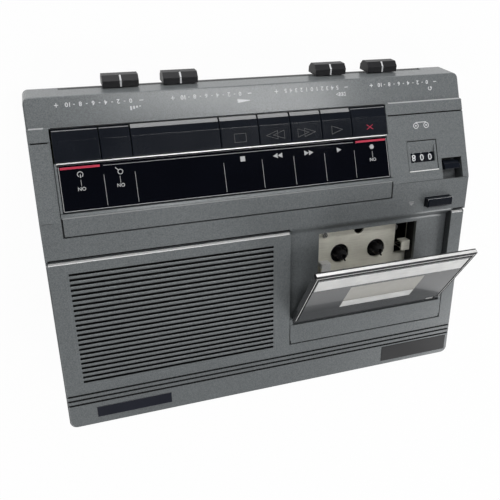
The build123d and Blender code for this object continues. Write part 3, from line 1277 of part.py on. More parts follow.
nodes = {
    "bottom_case": make_bottom_case(),
    "front_cover": make_front_cover(),
    "rear_cover": make_rear_cover(),
    "speaker_grille": make_grille(),
    "control_bezel": make_bezel(),
    "label_panel": make_label_panel(),
    "key_trim_strip": make_key_trim(),
    "key_switch_board": make_key_board(),
    "slide_potentiometers": make_pots(),
    "reset_button": make_reset_button(),
    "eject_button": make_eject_button(),
    "cassette_well": make_well(),
    "deck_plate": make_deck_plate(),
    "cassette_lever": make_lever(),
    "mechanism_chassis": make_chassis(),
    "supply_spindle": make_spindle(SUPPLY_X),
    "take_up_spindle": make_spindle(TAKE_UP_X),
    "drive_wheel": make_drive_wheel(),
    "main_board": make_main_board(),
    "socket_plate": make_socket_plate(),
    "rubber_feet": make_feet(),
    "case_screws": make_case_screws(),
}
for group in (
    make_keys(), make_knobs(), make_counter(), make_door(), make_hinge(), make_idler(), make_motor(),
    make_heads(), make_speaker(), make_jacks(),
):
    nodes.update(group)

os.makedirs("parts", exist_ok=True)
for name, solid in nodes.items():
    export_step(solid, f"parts/{name}.step")
print(len(nodes), "nodes written")
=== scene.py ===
"""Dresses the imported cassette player: finishes, printed marks and small trim round the CAD frame."""

import json
import math

import bmesh
import bpy
from bpy.props import FloatProperty, FloatVectorProperty, IntProperty, PointerProperty
from mathutils import Matrix, Vector
from mathutils.bvhtree import BVHTree


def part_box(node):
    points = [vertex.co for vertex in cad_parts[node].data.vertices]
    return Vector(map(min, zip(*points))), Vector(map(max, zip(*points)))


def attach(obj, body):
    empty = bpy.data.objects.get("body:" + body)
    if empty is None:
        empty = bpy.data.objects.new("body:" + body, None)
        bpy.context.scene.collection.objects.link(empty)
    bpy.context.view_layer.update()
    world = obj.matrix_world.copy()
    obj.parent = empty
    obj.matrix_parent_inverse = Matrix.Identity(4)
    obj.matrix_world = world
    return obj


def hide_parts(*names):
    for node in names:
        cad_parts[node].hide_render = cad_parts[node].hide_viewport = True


bl_info = {
    "name": "Cassette Player Dressing",
    "version": (1, 0, 0),
    "blender": (4, 5, 0),
    "location": "3D View > Sidebar > Player",
    "description": "Finishes, printed marks and small trim for a desk-top cassette player",
    "category": "Object",
}

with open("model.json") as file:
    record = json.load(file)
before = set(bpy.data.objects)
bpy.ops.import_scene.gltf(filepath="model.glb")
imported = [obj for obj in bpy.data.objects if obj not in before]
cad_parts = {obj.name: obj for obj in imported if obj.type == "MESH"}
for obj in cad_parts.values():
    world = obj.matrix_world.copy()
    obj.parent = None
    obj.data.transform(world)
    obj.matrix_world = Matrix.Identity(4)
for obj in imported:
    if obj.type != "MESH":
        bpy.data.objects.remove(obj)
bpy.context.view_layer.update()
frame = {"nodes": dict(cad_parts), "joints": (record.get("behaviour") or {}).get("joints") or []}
NODES = frame["nodes"]
JOINTS = {joint["name"]: joint for joint in frame["joints"]}

MM = 0.001


def mm(*lengths):
    """Millimetres as metres."""
    return tuple(part * MM for part in lengths)


ACROSS = Vector((1, 0, 0))
UPRIGHT = Vector((0, 0, 1))
CONTROL_UP = Vector(JOINTS["play_key_press"]["axis"]).normalized()
DECK_UP = Vector(JOINTS["eject_press"]["axis"]).normalized()
DOOR_TURN = math.radians(JOINTS["door_hinge"]["range_deg"][0])
DOOR_UP = Matrix.Rotation(DOOR_TURN, 3, "X") @ DECK_UP

# Keys with a bright grey strip over the nose and a grey band on the front of the top facet.
BRIGHT_NOSES = ("play_key", "fast_forward_key", "rewind_key", "stop_key", "blank_key")
KEYS = ("erase_key", *BRIGHT_NOSES, "search_key", "power_key")
KNOBS = ("backspace_knob", "speed_knob", "volume_knob", "tone_knob")
WHEELS = {"hundreds_wheel": 0, "tens_wheel": 0, "units_wheel": 8}
WELL_MIDDLE = (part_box("supply_spindle")[0][0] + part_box("take_up_spindle")[1][0]) / 2


def middle_of(node):
    """Middle of a node across the player."""
    low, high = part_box(node)
    return (low[0] + high[0]) / 2


def lowest(node, way):
    """How far a node's first corner lies along a direction."""
    return min(vertex.co.dot(way) for vertex in NODES[node].data.vertices)


def put(name, data):
    """Adds an object to the scene."""
    holder = bpy.data.objects.new(name, data)
    bpy.context.scene.collection.objects.link(holder)
    return holder


def mesh_from(holder):
    """The mesh that a helper object comes to; the object itself is removed."""
    graph = bpy.context.evaluated_depsgraph_get()
    mesh = bpy.data.meshes.new_from_object(holder.evaluated_get(graph))
    holder.modifiers.clear()
    bpy.data.objects.remove(holder)
    return mesh


# Properties

def length(name, description, millimetres):
    return FloatProperty(
        name=name, description=description, default=millimetres * MM, unit="LENGTH", precision=5)


def tint(name, description, colour):
    return FloatVectorProperty(
        name=name, description=description, default=colour, subtype="COLOR", size=3, min=0, max=1)


class PlayerSizes(bpy.types.PropertyGroup):
    ink: length("Ink", "How far printed marks stand above their face", 0.05)
    ink_root: length("Ink root", "How far printed marks reach into their face", 0.03)
    line: length("Line", "Width of the fine printed lines", 0.32)
    figure: length("Figure", "Height of the numbers on the scales", 2.2)
    scale_row: length("Scale row", "Distance of the numbers from the lip", 3.7)
    travel: length("Travel", "Length of each slide scale", 30.0)
    pointer: length("Pointer", "Width of the line on each slide knob", 0.9)
    slat_pitch: length("Slat pitch", "Distance from one grille slot to the next", 2.86)
    slot_width: length("Slot width", "Width of one grille slot", 1.35)
    slat_round: length("Slat round", "Rounding of the grille slats", 0.32)
    border: length("Grille border", "Margin of the grille round its slots", 1.5)
    screw_head: length("Screw head", "Radius of the case screws' heads", 2.75)
    plate_rise: length("Plate rise", "Thickness of the stuck-on plates", 0.3)
    digit: length("Digit", "Height of the counter's numbers", 3.7)
    figures: IntProperty(name="Figures", description="Numbers round one counter wheel", default=10, min=1)


class PlayerColours(bpy.types.PropertyGroup):
    charcoal: tint("Charcoal", "Painted housing", (0.145, 0.157, 0.162))
    black: tint("Black", "Moulded black pieces", (0.014, 0.014, 0.016))
    gloss: tint("Gloss black", "Polished strip above the keys", (0.0015, 0.002, 0.0045))
    key: tint("Key", "Key caps", (0.0065, 0.0085, 0.0135))
    silver: tint("Silver", "Bright plated trim", (0.78, 0.78, 0.77))
    door: tint("Door", "Smoky cassette door", (0.085, 0.088, 0.092))
    nickel: tint("Nickel", "Plated sheet in the well", (0.93, 0.90, 0.79))
    white_ink: tint("White ink", "Printed marks", (0.72, 0.73, 0.74))
    red_ink: tint("Red ink", "Red bars and cross", (0.52, 0.014, 0.055))
    card: tint("Card", "Bare strip on the door", (0.86, 0.86, 0.85))
    pane_back: tint("Pane back", "Plate behind the door's pane", (0.36, 0.35, 0.31))


def sizes():
    return bpy.context.scene.player_sizes


def colours():
    return bpy.context.scene.player_colours


# Node trees

class Wire:
    """A node's socket that takes part in sums; each operator adds one Math node."""

    def __init__(self, owner, socket):
        self.owner = owner
        self.socket = socket

    def math(self, operation, first, second):
        return self.owner.node("ShaderNodeMath", {"operation": operation}, {0: first, 1: second})

    def __add__(self, other):
        return self.math("ADD", self, other)

    def __radd__(self, other):
        return self.math("ADD", other, self)

    def __sub__(self, other):
        return self.math("SUBTRACT", self, other)

    def __rsub__(self, other):
        return self.math("SUBTRACT", other, self)

    def __mul__(self, other):
        return self.math("MULTIPLY", self, other)

    def __rmul__(self, other):
        return self.math("MULTIPLY", other, self)


def socket_name(key):
    return key.replace("_", " ").title().replace("Ior", "IOR")


class NodeTree:
    """A tree of nodes, built one node at a time."""

    def __init__(self, tree):
        self.tree = tree

    def node(self, kind, settings, values, output=0):
        """Adds a node: its settings first, then the values or wires of its sockets."""
        node = self.tree.nodes.new(kind)
        for key, value in settings.items():
            setattr(node, key, value)
        self.feed(node, values)
        return Wire(self, node.outputs[output])

    def feed(self, node, values):
        """Sets sockets to values or wires; a list is several wires into one socket."""
        for key, value in values.items():
            for item in value if isinstance(value, list) else [value]:
                if isinstance(item, Wire):
                    self.tree.links.new(item.socket, node.inputs[key])
                else:
                    node.inputs[key].default_value = item

    def span(self, value, low, high, start=0.0, end=1.0):
        """Smooth step of a value between two levels."""
        settings = {"interpolation_type": "SMOOTHSTEP"}
        values = {"Value": value, 1: low, 2: high, 3: start, 4: end}
        return self.node("ShaderNodeMapRange", settings, values)


class Finish(NodeTree):
    """One procedural material, built round its Principled shader."""

    def __init__(self, name, base, **settings):
        self.material = bpy.data.materials.new(name)
        self.material.use_nodes = True
        super().__init__(self.material.node_tree)
        self.shader = self.tree.nodes["Principled BSDF"]
        self.use(base_color=(*base, 1.0), **settings)
        self.place = self.node("ShaderNodeTexCoord", {}, {}, "Object")

    def use(self, **values):
        """Feeds constants, and what varies over the surface, into the shader."""
        self.feed(self.shader, {socket_name(key): value for key, value in values.items()})
        return self.material

    def noise(self, size, detail=3.0, stretch=(1, 1, 1)):
        """Even noise whose grains are about that size in metres, longer along a stretched axis."""
        scale = tuple(1 / part for part in stretch)
        place = self.node("ShaderNodeMapping", {}, {"Vector": self.place, "Scale": scale})
        return self.node("ShaderNodeTexNoise", {}, {"Vector": place, "Scale": 1 / size, "Detail": detail})

    def flakes(self, size):
        """One random grey for each cell of about that size."""
        cells = self.node("ShaderNodeTexVoronoi", {}, {"Vector": self.place, "Scale": 1 / size}, "Color")
        return self.node("ShaderNodeSeparateColor", {}, {"Color": cells}, 0)

    def blend(self, factor, first, second):
        """Colour between two others."""
        settings = {"data_type": "RGBA"}
        return self.node("ShaderNodeMix", settings, {0: factor, 6: first, 7: second}, 2)

    def tones(self, factor, colour, dark, light):
        """Colour between a darker and a lighter shade of its own."""
        return self.blend(factor, shade(colour, dark), shade(colour, light))

    def dot(self, first, second):
        settings = {"operation": "DOT_PRODUCT"}
        return self.node("ShaderNodeVectorMath", settings, {0: first, 1: second}, "Value")

    def rounded(self, radius):
        """Normal of the surface with its edges rounded."""
        return self.node("ShaderNodeBevel", {"samples": 6}, {"Radius": radius})

    def edges(self, rounded):
        """Mask that is 1 where the rounding bends the surface."""
        flat = self.node("ShaderNodeNewGeometry", {}, {}, "True Normal")
        return self.span(self.dot(rounded, flat), 0.995, 0.90)

    def under(self, face, near, far):
        """Mask that grows from 0 to 1 between two depths below a face."""
        return self.span(face.top - self.dot(self.place, face.up), near, far)

    def bump(self, height, distance, strength, normal=None):
        values = {"Height": height, "Distance": distance, "Strength": strength}
        if normal is not None:
            values["Normal"] = normal
        return self.node("ShaderNodeBump", {}, values)


# Finishes

ALONG_X = (40, 1, 1)
ALONG_Z = (1, 1, 40)


def shade(colour, factor):
    return tuple(min(1.0, part * factor) for part in colour[:3]) + (1.0,)


def grained(name, colour, roughness, grain, depth, edge=0.35, wear=1.5, mottle=0.16, **settings):
    """Moulded plastic: fine grain, faint clouding, edges rubbed a little lighter and smoother."""
    finish = Finish(name, colour, **settings)
    rounded = finish.rounded(edge * MM)
    rubbed = finish.edges(rounded)
    cloud = finish.noise(22 * MM)
    fine = finish.noise(grain * MM)
    body = finish.tones(finish.span(cloud, 0.3, 0.7), colour, 0.92, 1.08)
    return finish.use(
        base_color=finish.blend(rubbed * 0.6, body, shade(colour, wear)),
        roughness=roughness + mottle * (cloud - 0.5 - 0.5 * rubbed),
        normal=finish.bump(fine, depth * MM, 0.6, normal=rounded))


def painted(name, colour, roughness, flake, edge=0.35, slotted=None):
    """Metallic paint: flakes of slightly different grey under a thin clear coat.

    Inside the slots of a node the paint darkens with depth to near black, as painted shade.
    """
    finish = Finish(name, colour, metallic=0.12, specular_ior_level=0.3, coat_weight=0.5, coat_roughness=0.18)
    rounded = finish.rounded(edge * MM)
    rubbed = finish.edges(rounded)
    cloud = finish.noise(30 * MM)
    cells = finish.flakes(flake * MM)
    fine = finish.noise(0.5 * MM)
    tone = finish.span(0.55 * cells + 0.3 * fine + 0.15 * cloud, 0.15, 0.8)
    body = finish.tones(tone, colour, 0.78, 1.26)
    body = finish.blend(rubbed * 0.5, body, shade(colour, 1.7))
    rough = roughness + 0.12 * (cloud - 0.5) - 0.06 * rubbed
    # Painted shade: deeper inside the slots the paint turns near black and rougher.
    if slotted:
        slot = finish.under(Face(slotted, DECK_UP), 0.25 * MM, 0.6 * MM)
        body = finish.blend(slot, body, shade(colour, 0.02))
        rough = rough + 0.4 * slot
    return finish.use(
        base_color=body, roughness=rough, normal=finish.bump(fine, 0.03 * MM, 0.5, normal=rounded))


def plated(name, colour, roughness, streak=ALONG_X, edge=0.2, metallic=1.0):
    """Plated or brushed metal with fine streaks along one axis."""
    finish = Finish(name, colour, metallic=metallic)
    rounded = finish.rounded(edge * MM)
    lines = finish.noise(0.25 * MM, stretch=streak)
    cloud = finish.noise(9 * MM)
    return finish.use(
        base_color=finish.tones(finish.span(0.5 * lines + 0.5 * cloud, 0.3, 0.7), colour, 0.86, 1.1),
        roughness=roughness + 0.18 * (cloud - 0.5) + 0.12 * (lines - 0.5),
        normal=finish.bump(lines, 0.012 * MM, 0.5, normal=rounded))


def printed(name, colour, roughness=0.45):
    """Screen-printed ink with a slightly uneven film."""
    finish = Finish(name, colour)
    film = finish.noise(0.35 * MM)
    return finish.use(
        base_color=finish.tones(finish.span(film, 0.25, 0.75), colour, 0.88, 1.06),
        roughness=roughness + 0.2 * (film - 0.5))


def woven(name, colour):
    """Open cloth: two sets of threads over and under each other."""
    finish = Finish(name, colour, roughness=0.9, sheen_weight=0.3)
    threads = []
    for way in ("X", "Y"):
        wave = {"wave_type": "BANDS", "bands_direction": way, "wave_profile": "SIN"}
        values = {"Vector": finish.place, "Scale": 700.0}
        threads.append(finish.node("ShaderNodeTexWave", wave, values, "Fac"))
    warp, weft = threads
    weave = finish.span(warp * weft + 0.4 * (1 - warp) * (1 - weft), 0.1, 0.7)
    lint = finish.noise(3 * MM, 4.0)
    body = finish.tones(weave, colour, 0.35, 1.5)
    return finish.use(
        base_color=finish.blend(finish.span(lint, 0.55, 0.8), body, shade(colour, 1.9)),
        normal=finish.bump(weave, 0.15 * MM, 0.8))


def clear_pane(name, colour):
    """Thin clear moulding, faintly hazed, that lets the plate behind it show."""
    finish = Finish(name, colour, roughness=0.12, coat_weight=0.3, coat_roughness=0.05)
    haze = finish.noise(6 * MM)
    return finish.use(alpha=0.78 + 0.16 * haze, roughness=0.10 + 0.10 * haze)


def circuit(name, colour):
    """Lacquered board with faint copper runs under the lacquer."""
    finish = Finish(name, colour, roughness=0.4, coat_weight=0.3)
    settings = {"feature": "DISTANCE_TO_EDGE"}
    values = {"Vector": finish.place, "Scale": 180.0}
    runs = finish.node("ShaderNodeTexVoronoi", settings, values, "Distance")
    cloud = finish.noise(5 * MM)
    return finish.use(
        base_color=finish.tones(finish.span(runs, 0.03, 0.08), colour, 1.9, 1.0),
        roughness=0.34 + 0.15 * cloud)


# A recipe's colour is a property's name or a plain colour, and its factor darkens it. Lengths are in mm.
RECIPES = {
    "charcoal_paint": dict(make=painted, colour="charcoal", roughness=0.5, flake=0.32),
    # grille_paint carries painted shade inside the grille's slots.
    "grille_paint": dict(
        make=painted, colour="charcoal", roughness=0.5, flake=0.32, edge=0.2, slotted="speaker_grille"),
    "black_plastic": dict(
        make=grained, colour="black", roughness=0.5, grain=0.45, depth=0.05, specular_ior_level=0.35),
    "case_plastic": dict(make=grained, colour="charcoal", factor=0.28, roughness=0.55, grain=0.6, depth=0.07),
    "gloss_black": dict(
        make=grained, colour="gloss", roughness=0.05, grain=3.0, depth=0.004, edge=0.2, wear=2.5,
        mottle=0.03, specular_ior_level=0.35),
    # A lighter, bluish black for the rear plate, partly painted reflection.
    "plate_black": dict(
        make=grained, colour=(0.017, 0.019, 0.028), roughness=0.25, grain=3.0, depth=0.004, edge=0.2,
        wear=2.0, mottle=0.05),
    "key_plastic": dict(
        make=grained, colour="key", roughness=0.2, grain=0.5, depth=0.012, wear=2.6, mottle=0.1,
        specular_ior_level=0.35),
    "knob_plastic": dict(
        make=grained, colour="black", roughness=0.42, grain=0.5, depth=0.02, edge=0.4, wear=3.0,
        specular_ior_level=0.25),
    "door_plastic": dict(
        make=grained, colour="door", roughness=0.22, grain=0.6, depth=0.012, edge=0.4, wear=3.0,
        metallic=0.25, coat_weight=0.4),
    # line_black makes thin black bars; in grooves, gaps, joints and the knobs' slot they are painted shade.
    "line_black": dict(
        make=grained, colour="black", factor=0.4, roughness=0.8, grain=0.3, depth=0.02, edge=0.1, wear=1.2,
        specular_ior_level=0.15),
    "rubber": dict(make=grained, colour="black", roughness=0.8, grain=0.3, depth=0.06, edge=0.6, wear=1.8),
    "cone_paper": dict(make=grained, colour=(0.03, 0.03, 0.03), roughness=0.9, grain=0.4, depth=0.1),
    "magnet": dict(make=grained, colour=(0.07, 0.07, 0.074), roughness=0.6, grain=0.8, depth=0.08),
    "silver_trim": dict(make=plated, colour="silver", roughness=0.22),
    "nickel_sheet": dict(make=plated, colour="nickel", roughness=0.36, metallic=0.1),
    "bare_card": dict(make=plated, colour="card", roughness=0.36, metallic=0.35),
    "dark_steel": dict(make=plated, colour=(0.42, 0.42, 0.42), roughness=0.36),
    "brass": dict(make=plated, colour=(0.72, 0.55, 0.28), roughness=0.3),
    "head_metal": dict(make=plated, colour=(0.74, 0.50, 0.34), roughness=0.2, streak=ALONG_Z),
    # Besides print, edge_white, panel_ink and grey_ink also make painted highlights on the seam, the step,
    # the bezel ridge and the eject button.
    "pane_back": dict(make=printed, colour="pane_back", roughness=0.5),
    "edge_white": dict(make=printed, colour="card", roughness=0.3),
    "white_ink": dict(make=printed, colour="white_ink"),
    "panel_ink": dict(make=printed, colour="white_ink", factor=0.62),
    "grey_ink": dict(make=printed, colour="white_ink", factor=0.42),
    "faint_ink": dict(make=printed, colour="white_ink", factor=0.13),
    "red_ink": dict(make=printed, colour="red_ink"),
    "cloth": dict(make=woven, colour=(0.004, 0.004, 0.0045)),
    "clear_pane": dict(make=clear_pane, colour=(0.40, 0.39, 0.355)),
    "circuit": dict(make=circuit, colour=(0.11, 0.15, 0.055)),
}


class Paintbox(dict):
    """The finishes of this object, each made when it is first asked for."""

    def __missing__(self, name):
        self[name] = self.mix(name, **RECIPES[name])
        return self[name]

    def mix(self, name, make, colour, factor=1.0, **settings):
        base = getattr(colours(), colour) if isinstance(colour, str) else colour
        return make(name, shade(base, factor)[:3], **settings)


PAINT = Paintbox()

NODE_FINISHES = {
    "charcoal_paint": (
        "front_cover", "rear_cover", "control_bezel", "hinge_panel", "speaker_grille", "counter_frame"),
    "case_plastic": ("bottom_case", "socket_plate"),
    # door_trim is black so that its front below the bare strip reads as painted shade.
    "black_plastic": (
        "cassette_well", "counter_bracket", "supply_spindle", "take_up_spindle",
        "earphone_jack", "foot_control_jack", "dc_jack", "slide_potentiometers", "drive_wheel",
        "head_carriage", "door_trim"),
    "gloss_black": ("label_panel",),
    "key_plastic": (*KEYS, *WHEELS, "reset_button", "eject_button"),
    "knob_plastic": KNOBS,
    "door_plastic": ("cassette_door",),
    "silver_trim": ("cassette_lever",),
    "bare_card": ("key_trim_strip",),
    "nickel_sheet": ("deck_plate",),
    # mechanism_chassis is dark steel so that the well's lower corner reads black, as painted shade.
    "dark_steel": (
        "mechanism_chassis", "door_hinge_pin", "door_spring", "case_screws", "idler_arm", "motor",
        "speaker_frame"),
    "brass": ("motor_pulley",),
    "head_metal": ("playback_head", "erase_head"),
    "rubber": ("rubber_feet", "drive_belt", "idler_wheel"),
    "cloth": ("speaker_cloth",),
    "clear_pane": ("door_window",),
    "circuit": ("key_switch_board", "main_board"),
    "cone_paper": ("speaker_cone",),
    "magnet": ("speaker_magnet",),
}


# Faces of the frame and marks laid on them

class Face:
    """One flat outer side of a CAD node: x to the right, along up its slope, and up out of it."""

    FACING = 0.999
    RISING = 0.2
    SIDEWAYS = 0.01
    CLEAR = 20 * MM
    LEVEL = 0.1 * MM
    TOUCH = 0.01 * MM

    def __init__(self, node, up, sides=None):
        mesh = NODES[node].data
        points = [vertex.co for vertex in mesh.vertices]
        self.node = node
        self.up = up.normalized()
        self.along = self.up.cross(ACROSS)
        self.tree = BVHTree.FromPolygons(points, [polygon.vertices[:] for polygon in mesh.polygons])
        if sides is None:
            sides = [polygon for polygon in mesh.polygons if polygon.normal.dot(self.up) > self.FACING]
        if not sides:
            raise RuntimeError(f"{node} has no such side")
        corners = [points[index] for polygon in sides for index in polygon.vertices]
        self.sides = sides
        self.left = min(corner.x for corner in corners)
        self.right = max(corner.x for corner in corners)
        self.middle = (self.left + self.right) / 2
        self.front = min(corner.dot(self.along) for corner in corners)
        self.rear = max(corner.dot(self.along) for corner in corners)
        self.top = max(corner.dot(self.up) for corner in corners)

    @classmethod
    def leaning(cls, node, up, low, high, behind=0.0, before=1.0):
        """The side of a node that leans away from a given direction by that much, front sides below 0."""
        along = up.cross(ACROSS)
        start = lowest(node, along)
        sides = []
        for polygon in NODES[node].data.polygons:
            level = abs(polygon.normal.x) < cls.SIDEWAYS and polygon.normal.dot(up) > cls.RISING
            near = behind <= polygon.center.dot(along) - start <= before
            if level and near and low < polygon.normal.dot(along) < high:
                sides.append(polygon)
        return cls(node, sum((side.normal * side.area for side in sides), Vector()), sides)

    @classmethod
    def sunk(cls, node, up, least, most):
        """The sides of a node that face one way, between two depths under its highest one."""
        whole = cls(node, up)
        sides = [side for side in whole.sides if least <= whole.top - side.center.dot(up) <= most]
        return cls(node, up, sides)

    @classmethod
    def topmost(cls, node, up):
        """The highest of the sides of a node that face one way."""
        return cls.sunk(node, up, -cls.LEVEL, cls.LEVEL)

    def inset(self, gap):
        """The outline drawn in by a gap, as (left, right, front, rear)."""
        return self.left + gap, self.right - gap, self.front + gap, self.rear - gap

    def place(self, x, along, lift):
        start = ACROSS * x + self.along * along + self.up * (self.top + self.CLEAR)
        hit = self.tree.ray_cast(start, -self.up)[0]
        if hit is None:
            raise RuntimeError(f"nothing of {self.node} under {x:.4f}, {along:.4f}")
        return hit + self.up * lift

    def runs(self):
        """The straight runs that the sides make up, as (left, right, front, rear)."""
        points = NODES[self.node].data.vertices
        rows = {}
        for side in self.sides:
            corners = [points[index].co for index in side.vertices]
            level = [corner.dot(self.along) for corner in corners]
            across = [corner.x for corner in corners]
            row = (round(min(level), 4), round(max(level), 4))
            rows.setdefault(row, []).append((min(across), max(across)))
        found = []
        for row, spans in rows.items():
            joined = []
            for left, right in sorted(spans):
                if joined and left <= joined[-1][1] + self.TOUCH:
                    joined[-1][1] = max(joined[-1][1], right)
                else:
                    joined.append([left, right])
            found.extend((left, right, *row) for left, right in joined)
        return found

    def matrix(self):
        """Takes x, along and height over the face's top to the object's frame."""
        turned = Matrix((ACROSS, self.along, self.up)).transposed().to_4x4()
        return turned @ Matrix.Translation((0, 0, self.top))


class Rim:
    """The rim of a counter wheel, unrolled: x along the axle, along round the rim from the window."""

    def __init__(self, node):
        low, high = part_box(node)
        self.middle = middle_of(node)
        self.centre = Vector(JOINTS[node + "_turn"]["pos_m"])
        self.radius = (high[2] - low[2]) / 2
        self.up = CONTROL_UP
        self.along = self.up.cross(ACROSS)

    def place(self, x, along, lift):
        turn = along / self.radius
        out = self.up * math.cos(turn) + self.along * math.sin(turn)
        return Vector((x, self.centre.y, self.centre.z)) + out * (self.radius + lift)


def pointed(x, y, height, pointing, length):
    """Corners of a triangle that points left (-1) or right (1)."""
    tip, half = pointing * length / 2, height / 2
    return [(x + tip, y), (x - tip, y + half), (x - tip, y - half)]


class Marks:
    """Flat shapes drawn on a face, then raised into thin closed slabs."""

    ROUND = 16
    MITRE = 0.3
    BOLD = 0.018
    SAME = 0.0005 * MM

    def __init__(self, face):
        self.face = face
        self.flat = bmesh.new()

    def shape(self, points):
        area = sum(a[0] * b[1] - b[0] * a[1] for a, b in zip(points, points[1:] + points[:1]))
        ordered = points if area > 0 else points[::-1]
        self.flat.faces.new([self.flat.verts.new((x, y, 0)) for x, y in ordered])

    def bar(self, x0, x1, y0, y1):
        self.shape([(x0, y0), (x1, y0), (x1, y1), (x0, y1)])

    def disc(self, x, y, radius):
        turns = [2 * math.pi * index / self.ROUND for index in range(self.ROUND)]
        self.shape([(x + radius * math.cos(turn), y + radius * math.sin(turn)) for turn in turns])

    def line(self, start, end, width):
        a, b = Vector(start), Vector(end)
        side = (b - a).normalized().orthogonal() * width / 2
        self.shape([tuple(a + side), tuple(b + side), tuple(b - side), tuple(a - side)])

    def loop(self, points, width):
        """Closed outline of even width, drawn inside and outside its corners."""
        rings = []
        count = len(points)
        for side in (-width / 2, width / 2):
            ring = []
            for index in range(count):
                here = Vector(points[index])
                back = (here - Vector(points[index - 1])).normalized()
                ahead = (Vector(points[(index + 1) % count]) - here).normalized()
                mitre = (back.orthogonal() + ahead.orthogonal()).normalized()
                ring.append(here + mitre * side / max(self.MITRE, mitre.dot(ahead.orthogonal())))
            rings.append(ring)
        inner, outer = rings
        for index in range(count):
            after = (index + 1) % count
            self.shape([tuple(p) for p in (inner[index], inner[after], outer[after], outer[index])])

    def arc(self, x, y, radius, start, end, width):
        """Part of a ring between two turns in degrees."""
        steps = self.ROUND
        turns = [math.radians(start + (end - start) * index / steps) for index in range(steps + 1)]
        for first, second in zip(turns, turns[1:]):
            corners = []
            for turn, reach in ((first, -1), (second, -1), (second, 1), (first, 1)):
                edge = radius + reach * width / 2
                corners.append((x + edge * math.cos(turn), y + edge * math.sin(turn)))
            self.shape(corners)

    def triangle(self, x, y, height, pointing):
        self.shape(pointed(x, y, height, pointing, height))

    def open_triangle(self, x, y, height, pointing, width, length=None):
        self.loop(pointed(x, y, height, pointing, length or height), width)

    def words(self, text, x, y, height):
        """Plain figures centred on a point."""
        curve = bpy.data.curves.new("figures", "FONT")
        curve.body = text
        curve.resolution_u = 3
        curve.fill_mode = "FRONT"
        curve.offset = self.BOLD
        mesh = mesh_from(put("figures", curve))
        bpy.data.curves.remove(curve)
        across = [vertex.co.x for vertex in mesh.vertices]
        level = [vertex.co.y for vertex in mesh.vertices]
        low = Vector((min(across), min(level), 0))
        high = Vector((max(across), max(level), 0))
        centred = Matrix.Translation(-(low + high) / 2)
        scaled = Matrix.Scale(height / (high.y - low.y), 4)
        mesh.transform(Matrix.Translation((x, y, 0)) @ scaled @ centred)
        if mesh.polygons[0].normal.z < 0:
            mesh.flip_normals()
        self.flat.from_mesh(mesh)
        bpy.data.meshes.remove(mesh)

    def fine(self, step):
        """Cuts the shapes across, so that they can follow a round face."""
        ends = [vertex.co.y for vertex in self.flat.verts]
        level = min(ends) + step
        while level < max(ends):
            everything = self.flat.verts[:] + self.flat.edges[:] + self.flat.faces[:]
            bmesh.ops.bisect_plane(self.flat, geom=everything, plane_co=(0, level, 0), plane_no=(0, 1, 0))
            level += step

    def piece(self, name, finish, body, slot, rise=None):
        """Raises the shapes off the face as one piece that rides on a body."""
        rise = sizes().ink if rise is None else rise
        bmesh.ops.remove_doubles(self.flat, verts=self.flat.verts[:], dist=self.SAME)
        solid = bmesh.new()
        low, high = {}, {}
        for vertex in self.flat.verts:
            x, along = vertex.co.x, vertex.co.y
            low[vertex] = solid.verts.new(self.face.place(x, along, -sizes().ink_root))
            high[vertex] = solid.verts.new(self.face.place(x, along, rise))
        for shape in self.flat.faces:
            corners = shape.verts[:]
            solid.faces.new([high[corner] for corner in corners])
            solid.faces.new([low[corner] for corner in reversed(corners)])
            for loop in shape.loops:
                if len(loop.edge.link_faces) == 1:
                    a, b = loop.vert, loop.link_loop_next.vert
                    solid.faces.new([low[a], low[b], high[b], high[a]])
        self.flat.free()
        return make_piece(name, solid, finish, body)


def make_piece(name, solid, finish, body):
    """Turns a bmesh or mesh into a finished piece at the origin."""
    if isinstance(solid, bmesh.types.BMesh):
        mesh = bpy.data.meshes.new(name)
        solid.to_mesh(mesh)
        solid.free()
    else:
        mesh = solid
        mesh.name = name
    mesh.materials.clear()
    mesh.materials.append(PAINT[finish])
    piece = put(name, mesh)
    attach(piece, body)
    return piece


BAR_SLOTS = {
    "line_black": "black_plastic", "edge_white": "bright_trim", "bare_card": "bright_trim",
    "grey_ink": "bright_trim", "panel_ink": "bright_trim", "red_ink": "black_gloss",
    "white_ink": "key_plastic", "case_plastic": "charcoal_plastic"}


def lay_bars(name, finish, face, *bars, body="housing", slot=None, rise=None):
    """Bars on a face, each as (left, right, front, rear), raised as one piece."""
    marks = Marks(face)
    for bar in bars:
        marks.bar(*bar)
    return marks.piece(name, finish, body, slot or BAR_SLOTS[finish], rise)


def add_box(solid, face, x0, x1, y0, y1, z0, z1, bevel=0.0):
    """Box in a face's own axes, measured from its top, with rounded edges."""
    corners = {}
    for x in (x0, x1):
        for y in (y0, y1):
            for z in (z0, z1):
                corners[x, y, z] = solid.verts.new(ACROSS * x + face.along * y + face.up * (face.top + z))
    made = []
    for quad in (
            ((x0, y0, z0), (x0, y1, z0), (x1, y1, z0), (x1, y0, z0)),
            ((x0, y0, z1), (x1, y0, z1), (x1, y1, z1), (x0, y1, z1)),
            ((x0, y0, z0), (x1, y0, z0), (x1, y0, z1), (x0, y0, z1)),
            ((x1, y1, z0), (x0, y1, z0), (x0, y1, z1), (x1, y1, z1)),
            ((x0, y1, z0), (x0, y0, z0), (x0, y0, z1), (x0, y1, z1)),
            ((x1, y0, z0), (x1, y1, z0), (x1, y1, z1), (x1, y0, z1))):
        made.append(solid.faces.new([corners[corner] for corner in quad]))
    if bevel:
        edges = {edge for side in made for edge in side.edges}
        bmesh.ops.bevel(solid, geom=list(edges), offset=bevel, segments=2, profile=0.5, affect="EDGES")


def make_boxes(name, finish, body, face, boxes, bevel=0.0):
    """Boxes in a face's own axes, each as (left, right, front, rear, low, high), as one piece."""
    solid = bmesh.new()
    for box in boxes:
        add_box(solid, face, *box, bevel)
    return make_piece(name, solid, finish, body)


